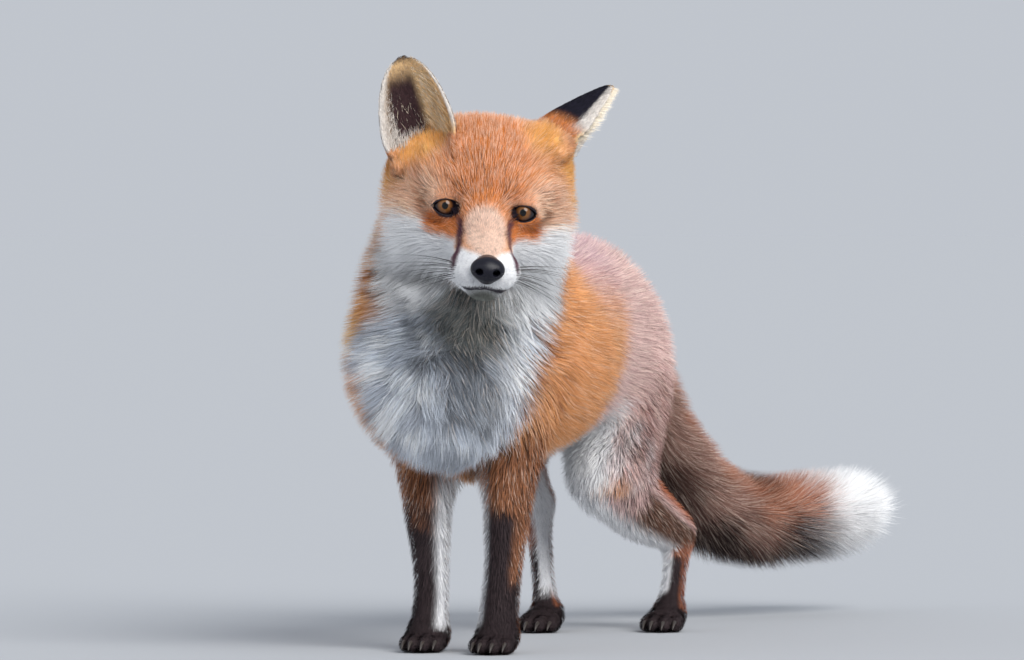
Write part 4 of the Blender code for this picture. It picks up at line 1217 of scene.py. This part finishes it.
def build_piece(name, shape, manner, roots, face, normals, found, length, members, rng):
    """Makes one piece of the coat from the places of its roots. Some tufts lead a lock each: the
    rest bend towards the tip of the nearest leader."""
    bend, stray, difference, breadth, fullness, crowding = manner
    count = len(roots)
    normal, lie, coat = normals[face], found["lie"][face], found["coat"][face]
    size = length[face] * rng.uniform(*LENGTH_SPREAD, count)
    rise = fullness * rng.uniform(*RISE_SPREAD, count)
    spread = np.cross(normal, lie) * rng.normal(size=count)[:, None] * stray
    way = normalised(lie + spread)
    lock = np.sqrt(np.median(size)) * LOCK_SPACING
    leaders = rng.random(count) < (np.median(spacing_of(size) ** 2) / (crowding * lock**2))
    leaders[0] = True
    led = np.flatnonzero(leaders)
    tips = march(roots[led], normal[led], way[led], coat[led], size[led], rise[led], **shape)
    tree = KDTree(len(led))
    for index, root in enumerate(roots[led]):
        tree.insert(root, index)
    tree.balance()
    own = np.array([tree.find(root)[1] for root in roots])
    aim = tips[own, -1] + (roots - roots[led][own]) * LOCK_LOOSE
    lines = march(roots, normal, way, coat, size, rise, aim=aim, aim_share=bend, **shape)
    lines[..., 2] = np.maximum(lines[..., 2], FLOOR + FLOOR_GAP)
    widths = breadth * TUFT_WIDTH * (size / 0.010) ** WIDTH_POWER * rng.uniform(*WIDTH_SPREAD, count)
    widths *= max(crowding, 1) ** CROWDED_WIDTH
    roll = rng.normal(size=count) * ROLL
    shown = {key: found[key][face] for key in ("form", "along", "angle", "ear")}
    seen_at = roots + (lines[:, -1] - roots) * SEEN_AT
    seen_at += rng.normal(size=(count, 3)) * (MARKING_BLUR * size)[:, None]
    clump = rng.normal(size=len(led))[own] * difference
    colours = tuft_colours(lines, *markings(seen_at, shown), rng, clump)
    at = unwrapped(found, face, members)
    piece = coat_piece(name, lines, normal, widths, roll, colours, at)
    set_normals(piece, normal)


# ---- skin, eyes, nose, claws and whiskers


def halved(triangles, quads):
    """All faces as triangles that face outwards."""
    return np.concatenate([triangles, quads[:, [0, 1, 2]], quads[:, [0, 2, 3]]])[:, ::-1]


def skin_normals(points, quads):
    """The way out of the skin at each of its points."""
    normals = np.zeros_like(points)
    flat = np.cross(points[quads[:, 3]] - points[quads[:, 1]], points[quads[:, 2]] - points[quads[:, 0]])
    for side in range(4):
        np.add.at(normals, quads[:, side], flat)
    return normalised(normals)


def make_skin(surface, coat_grid):
    """The one skin that stands for all the nodes of flesh."""
    points, *faces = surface
    normals = skin_normals(points, faces[1])
    faces = halved(*faces)
    found = survey(points, normals, coat_grid)
    shade = SKIN_SHADE * smooth_step(0.002, 0.010, found["coat"])
    colours = markings(points, found)[0] * (1 - shade)[:, None]
    sole = (points[:, 2] < FLOOR + SOLE) & (normals[:, 2] < -0.3)
    colours[sole] = LOOKS["pad"][:3]
    points = points.copy()
    points[:, 2] = np.maximum(points[:, 2], FLOOR)
    skin = mesh_from("skin", moved(points, TO_ROW), faces)
    set_colours(skin, colours)
    decimate = skin.modifiers.new("thin_out", "DECIMATE")
    decimate.ratio = SKIN_TRIANGLES / len(faces)
    graph = bpy.context.evaluated_depsgraph_get()
    thin = bpy.data.meshes.new_from_object(skin.evaluated_get(graph))
    skin.modifiers.clear()
    skin.data = thin
    skin.data.shade_smooth()
    dress(skin, "skin")
    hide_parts(*[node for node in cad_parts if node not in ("nose", "eye_left", "eye_right")])


def lofted(name, tubes):
    """One mesh through the rings of points of each tube."""
    rings = np.array(tubes)
    count, rows, size = rings.shape[:3]
    faces = []
    for low in range(0, (rows - 1) * size, size):
        for step in range(size):
            after = (step + 1) % size
            faces.append((low + step, low + after, low + size + after, low + size + step))
    faces = (np.arange(count)[:, None, None] * rows * size + np.array(faces)).reshape(-1, 4)
    return mesh_from(name, rings.reshape(-1, 3), faces)


def make_eye(name, side):
    """An eyeball with a bulging cornea, looking at the camera."""
    centre = ROW_HEAD @ eye_centre(side)
    turns = np.arange(EYE_SEGMENTS) * 2 * math.pi / EYE_SEGMENTS
    rings = []
    for ring in range(EYE_RINGS + 1):
        polar = math.pi * (0.004 + 0.992 * ring / EYE_RINGS)
        radius = EYE_RADIUS - CORNEA_BULGE + CORNEA_BULGE * math.exp(-((polar / CORNEA_ANGLE) ** 4))
        across = radius * math.sin(polar)
        ahead = np.full(EYE_SEGMENTS, -radius * math.cos(polar))
        rings.append(np.stack([across * np.cos(turns), ahead, across * np.sin(turns)], axis=1))
    eye = lofted(name, [rings])
    eye.matrix_world = looking(centre, (bpy.context.scene.camera.location - centre).normalized())
    dress(eye, "eye")
    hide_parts(name)


def lid_rim(turn, side):
    """The edge of the opening between the lids at an angle round it: how far across and how high."""
    across, up = math.cos(turn), math.sin(turn)
    corner = max(-across, 0) ** 3
    x = LID_HALF_WIDTH * across - INNER_CORNER_REACH * corner
    z = (UPPER_LID if up > 0 else LOWER_LID) * up * (1 - LID_FLATTENING * across * across)
    return x * side, z - INNER_CORNER_DROP * corner


def make_lids(name, side):
    """A black rim round the opening, which runs in under the fur."""
    rings = []
    for grown, lift in LID_PROFILE:
        ring = []
        for step in range(LID_SEGMENTS):
            x, z = lid_rim(2 * math.pi * step / LID_SEGMENTS, side)
            radius = EYE_RADIUS + lift
            x, z = x * grown, z * (1 + (grown - 1) * LID_SPREAD)
            flat = min(math.hypot(x, z), radius * 0.98)
            ring.append(ROW_HEAD @ lid_frame(side) @ Vector((x, -math.sqrt(radius**2 - flat**2), z)))
        rings.append(ring)
    dress(lofted(name, [rings]), "lid")


def make_nose():
    """The nose pad, with its nostrils and the groove between them, from fields of its own."""
    room = np.array(NOSE_MIDDLE) - NOSE_REACH, np.array(NOSE_MIDDLE) + NOSE_REACH
    grid = Grid.over(*room, NOSE_CELL)
    for form in NOSE_FORMS:
        grid.add(form)
    for side, cuts in ((1, NOSTRILS), (-1, NOSTRILS), (1, [NOSE_GROOVE])):
        for start, end, radius in cuts:
            line = np.array([start, end]) * (side, 1, 1)

            def rod(points):
                away = segment_distance(points.reshape(-1, 3), *line)
                return away.reshape(points.shape[:-1]) - radius

            grid.carve(*room, rod, NOSE_CUT_BLEND)
    points, *faces = grid.surface()
    nose = mesh_from("nose_pad", moved(points, ROW_HEAD), halved(*faces))
    dress(nose, "nose")
    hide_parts("nose")


def tube(points, radii, sides):
    """Rings of points round a line."""
    points = np.array(points)
    ways = normalised(np.gradient(points, axis=0))
    across = normalised(np.cross(ways, [0.3, 0.2, 1.0]))
    other = np.cross(ways, across)
    turns = np.arange(sides) * 2 * math.pi / sides
    circle = across[:, None] * np.cos(turns)[:, None] + other[:, None] * np.sin(turns)[:, None]
    return points[:, None] + circle * np.array(radii)[:, None, None]


def make_whiskers():
    rng = np.random.default_rng(7)
    tubes = []
    for side in (1, -1):
        for number in range(WHISKERS):
            row, column = number % 4, number // 4
            x, y, z = 0.0190 + 0.0010 * column, -0.064 + 0.0050 * column, -0.029 - 0.0026 * row
            start = Vector((x * side, y, z))
            length = rng.uniform(*WHISKER_LENGTHS) * (0.7 + 0.1 * column)
            way = Vector((side, 0.10 + 0.06 * column, 0.16 - 0.13 * row + rng.uniform(-0.08, 0.08)))
            way.normalize()
            line = [start + way * length * s + WHISKER_SAG * length * s * s for s in np.linspace(0, 1, 8)]
            line = [ROW_HEAD @ point for point in line]
            tubes.append(tube(line, np.linspace(WHISKER_RADIUS, WHISKER_RADIUS * 0.3, 8), 3))
    dress(lofted("whiskers", tubes), "whisker")


def make_claws():
    tubes = []
    for paw in PAWS:
        for name, form in PAW_FORMS.items():
            if name == "ball":
                continue
            x, y, _ = form["stations"][-1][:3]
            y, z = y + CLAW_START[0], CLAW_START[1]
            line = []
            for share in np.linspace(0, 1, 7):
                point = Vector((x, y - CLAW_LENGTH * share, z - CLAW_DROP * share**2))
                line.append(TO_ROW @ paw_place(paw) @ point)
            radii = CLAW_RADIUS * np.sqrt(1 - np.linspace(0, 0.995, 7)) * PAW_SIZE
            tubes.append(tube(line, radii, 8))
    dress(lofted("claws", tubes), "claw")


def make_lips(grid):
    """The dark edge of the lips along the mouth, on the skin."""
    tubes = []
    shares = np.linspace(0, 1, len(LIP_LINE))
    finer = np.linspace(0, 1, LIP_POINTS)
    for side in (1, -1):
        line = np.array(LIP_LINE) * (side, 1, 1)
        line = np.stack([np.interp(finer, shares, line[:, axis]) for axis in range(3)], axis=1)
        line = moved(line, HEAD_PLACE)
        for _ in range(4):
            line = line - outward(grid, line) * sampled(grid, line)[:, None]
        line = line + outward(grid, line) * LIP_RADIUS * 0.4
        tubes.append(tube(moved(line, TO_ROW), np.linspace(1.0, 0.6, LIP_POINTS) * LIP_RADIUS, 8))
    dress(lofted("lips", tubes), "lid")


def make_ear_hair():
    """Long pale hair combed from the edges of the ears over their dark hollows."""
    rng = np.random.default_rng(31)
    rows = []
    for name, ear in EARS.items():
        place = HEAD_PLACE @ ear_frame(ear)
        sets = EAR_HAIR + ((EAR_FRINGE,) if name == "ear_left" else ())
        for look, count, places, shares, most_length, lean in sets:
            share = rng.uniform(*shares, count)
            along = share * ear["length"]
            half_width, _, _, _ = ear_leaf(np.zeros(count), along, ear)
            across = rng.uniform(*places, count) * half_width * ear["outer_side"]
            _, _, bulge, slope = ear_leaf(across, along, ear)
            root = np.stack([across, bulge, along], axis=1)
            out = normalised(np.stack([-slope, np.ones(count), np.zeros(count)], axis=1))
            way = np.array((lean * ear["outer_side"], 0, 1)) + rng.normal(size=(count, 3)) * EAR_HAIR_STRAY
            way = flattened(way, out)
            length = most_length * rng.uniform(0.4, 1.0, count) * (1 - 0.6 * np.clip(share, 0, 1))
            steps = np.linspace(0, 1, 4)
            line = root[:, None] + way[:, None] * (length[:, None] * steps)[..., None]
            rise = (EAR_HAIR_RISE * length)[:, None] * (1 - (1 - steps) ** 2)
            line = moved(line + out[:, None] * rise[..., None], place)
            width = rng.uniform(*EAR_HAIR_WIDTHS, count)
            shade = rng.uniform(0.75, 1.25, (count, 1, 1)) * np.array(EAR_HAIR_SHADES)[None, :, None]
            rows.append((line, out @ np.array(place.to_3x3()).T, width, LOOKS[look][:3] * shade))
    lines, normals, widths, colours = (np.concatenate(parts) for parts in zip(*rows))
    roll = rng.normal(size=len(lines)) * ROLL
    at = np.stack([0.01 + 0.98 * rng.random(len(lines)), 0.01 + 0.98 * rng.random(len(lines))], axis=1)
    coat_piece("coat_ear_hair", lines, normals, widths, roll, colours, at)


# ---- materials


class Material:
    """A material with one shader, whose nodes are added one by one."""

    def __init__(self, name, roughness, specular):
        self.data = bpy.data.materials.new(name)
        self.data.use_nodes = True
        self.tree = self.data.node_tree
        self.shader = self.tree.nodes["Principled BSDF"]
        self.feed(self.shader, {"Roughness": roughness, "Specular IOR Level": specular})

    def feed(self, node, inputs):
        """Sets a node's inputs, each to a value or to another node's output."""
        for key, value in inputs.items():
            if isinstance(value, bpy.types.NodeSocket):
                self.tree.links.new(value, node.inputs[key])
            else:
                node.inputs[key].default_value = value

    def add(self, kind, output, inputs, **settings):
        """A new node's output."""
        node = self.tree.nodes.new("ShaderNode" + kind)
        for key, value in settings.items():
            setattr(node, key, value)
        self.feed(node, inputs)
        return node.outputs[output]

    def place(self):
        return self.add("TexCoord", "Object", {})

    def coat_colour(self):
        return self.add("Attribute", "Color", {}, attribute_name="coat_colour")

    def spread(self, value, low, high):
        """A value of 0 to 1, spread between two others."""
        return self.add("MapRange", "Result", {"To Min": low, "To Max": high, "Value": value})

    def product(self, first, second):
        return self.add("VectorMath", "Vector", {0: first, 1: second}, operation="MULTIPLY")

    def maths(self, operation, *values):
        return self.add("Math", "Value", dict(enumerate(values)), operation=operation)

    def length(self, x, z):
        squares = self.maths("ADD", self.maths("MULTIPLY", x, x), self.maths("MULTIPLY", z, z))
        return self.maths("SQRT", squares)

    def bump(self, height, strength, distance, invert=False):
        inputs = {"Strength": strength, "Distance": distance, "Height": height}
        return self.add("Bump", "Normal", inputs, invert=invert)


def coat_material():
    fur = Material("fur", 0.70, 0.14)
    fur.feed(fur.shader, {"Base Color": fur.coat_colour()})
    return fur.data


def skin_material():
    """Close fur: the markings, with short hairs as streaks of shade and bump."""
    fur = Material("close_fur", 0.75, 0.2)
    noise = fur.add("TexNoise", "Fac", {"Scale": 900.0, "Detail": 3.0, "Vector": fur.place()})
    colour = fur.product(fur.coat_colour(), fur.spread(noise, 0.65, 1.25))
    fur.feed(fur.shader, {"Base Color": colour, "Normal": fur.bump(noise, 0.5, 0.0006)})
    return fur.data


def eye_material():
    """An amber iris with an upright pupil, under a wet cornea."""
    eye = Material("eye", 0.5, 0.0)
    split = eye.add("SeparateXYZ", "X", {"Vector": eye.place()})
    x, z = split, split.node.outputs["Z"]
    away = eye.length(x, z)
    around = {"X": eye.maths("DIVIDE", x, away), "Y": eye.maths("DIVIDE", z, away)}
    around["Z"] = eye.maths("MULTIPLY", away, 60.0)
    around = eye.add("CombineXYZ", "Vector", around)
    spokes = eye.add("TexNoise", "Fac", {"Scale": 9.0, "Detail": 4.0, "Vector": around})
    rings = eye.add("ValToRGB", "Color", {"Fac": eye.maths("DIVIDE", away, EYE_RADIUS)})
    stops = rings.node.color_ramp.elements
    stops[0].position, stops[0].color = 0.0, (*IRIS_MIDDLE, 1)
    stops[1].position, stops[1].color = 1.0, (*IRIS_EDGE, 1)
    for position, colour in IRIS_RINGS:
        stops.new(position).color = (*colour, 1)
    iris = eye.product(rings, eye.spread(spokes, 0.45, 1.5))
    pupil = eye.length(eye.maths("MULTIPLY", x, PUPIL_SLIT), z)
    edge = {"From Min": PUPIL_RADIUS * 0.9, "From Max": PUPIL_RADIUS * 1.15, "Value": pupil}
    dark = eye.product(iris, eye.add("MapRange", "Result", edge))
    eye.feed(eye.shader, {"Coat Weight": 0.8, "Coat Roughness": 0.02, "Base Color": dark})
    return eye.data


def wet_skin_material(name, colour, roughness, scale, strength, specular=0.5):
    """Black skin with a pebbled surface."""
    skin = Material(name, roughness, specular)
    cells = skin.add("TexVoronoi", "Distance", {"Scale": scale, "Vector": skin.place()})
    tint = skin.product(colour, skin.spread(cells, 1.25, 0.6))
    bump = skin.bump(cells, strength, 0.0003, invert=True)
    skin.feed(skin.shader, {"Base Color": tint, "Normal": bump})
    return skin.data


MATERIALS = {}


def dress(obj, kind):
    """Gives a piece its material and its slot, and lets it ride on the model."""
    obj.data.materials.clear()
    obj.data.materials.append(MATERIALS[kind])
    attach(obj, "root")


# ---- studio


def put_in_scene(name, data, place):
    obj = bpy.data.objects.new(name, data)
    obj.location = place
    bpy.context.scene.collection.objects.link(obj)
    return obj


def make_camera():
    way = Vector((-math.sin(CAMERA_HEADING), math.cos(CAMERA_HEADING), 0))
    data = bpy.data.cameras.new("camera")
    data.sensor_width = 36.0
    data.lens = CAMERA_LENS
    place = Vector((CAMERA_AIM, 0, CAMERA_HEIGHT)) + way * -CAMERA_DISTANCE - Vector(STANDS_AT)
    camera = put_in_scene("camera", data, place)
    camera.rotation_euler = (math.pi / 2 - CAMERA_TILT, 0, CAMERA_HEADING)
    bpy.context.scene.camera = camera
    bpy.context.view_layer.update()


def make_studio():
    size = FLOOR_SIZE
    corners = np.array([(-size, -size, 0), (size, -size, 0), (size, size, 0), (-size, size, 0)])
    floor = mesh_from("floor", corners, np.array([[0, 1, 2, 3]]))
    material = Material("floor", 1.0, 0.0)
    material.feed(material.shader, {"Base Color": FLOOR_COLOUR})
    floor.data.materials.append(material.data)
    world = bpy.data.worlds.new("studio")
    world.use_nodes = True
    world.node_tree.nodes["Background"].inputs["Color"].default_value = SKY_COLOUR
    bpy.context.scene.world = world
    for name, place, power, size, colour in LIGHTS:
        data = bpy.data.lights.new(name, "SUN")
        data.energy = power
        data.angle = math.radians(size)
        data.color = colour
        light = put_in_scene(name, data, place)
        light.rotation_euler = (LIGHTS_AIM - light.location).to_track_quat("-Z", "Y").to_euler()
    bpy.context.scene.view_settings.view_transform = "Standard"


def main():
    make_camera()
    make_studio()
    MATERIALS["coat"] = coat_material()
    MATERIALS["skin"] = skin_material()
    MATERIALS["eye"] = eye_material()
    # The nose's black is lifted a little and tinted blue: painted reflection of the sky, over the whole pad.
    MATERIALS["nose"] = wet_skin_material("nose_skin", (0.009, 0.009, 0.016), 0.30, 1500.0, 0.3, 0.25)
    MATERIALS["lid"] = wet_skin_material("lid_skin", (0.014, 0.010, 0.018), 0.40, 2500.0, 0.3, 0.3)
    MATERIALS["claw"] = wet_skin_material("claw_horn", (0.05, 0.04, 0.035), 0.40, 800.0, 0.15)
    MATERIALS["whisker"] = wet_skin_material("whisker_hair", (0.02, 0.018, 0.018), 0.45, 800.0, 0.0)
    coat_grid = fox_field(furred=True)
    grid = fox_field(furred=False)
    add_lids(grid)
    surface = grid.surface()
    make_skin(surface, coat_grid)
    for name, side in (("left", 1), ("right", -1)):
        make_eye("eye_" + name, side)
        make_lids("lids_" + name, side)
    make_nose()
    make_lips(grid)
    make_whiskers()
    make_claws()
    make_ear_hair()
    grow_coat(grid, coat_grid, surface)


main()
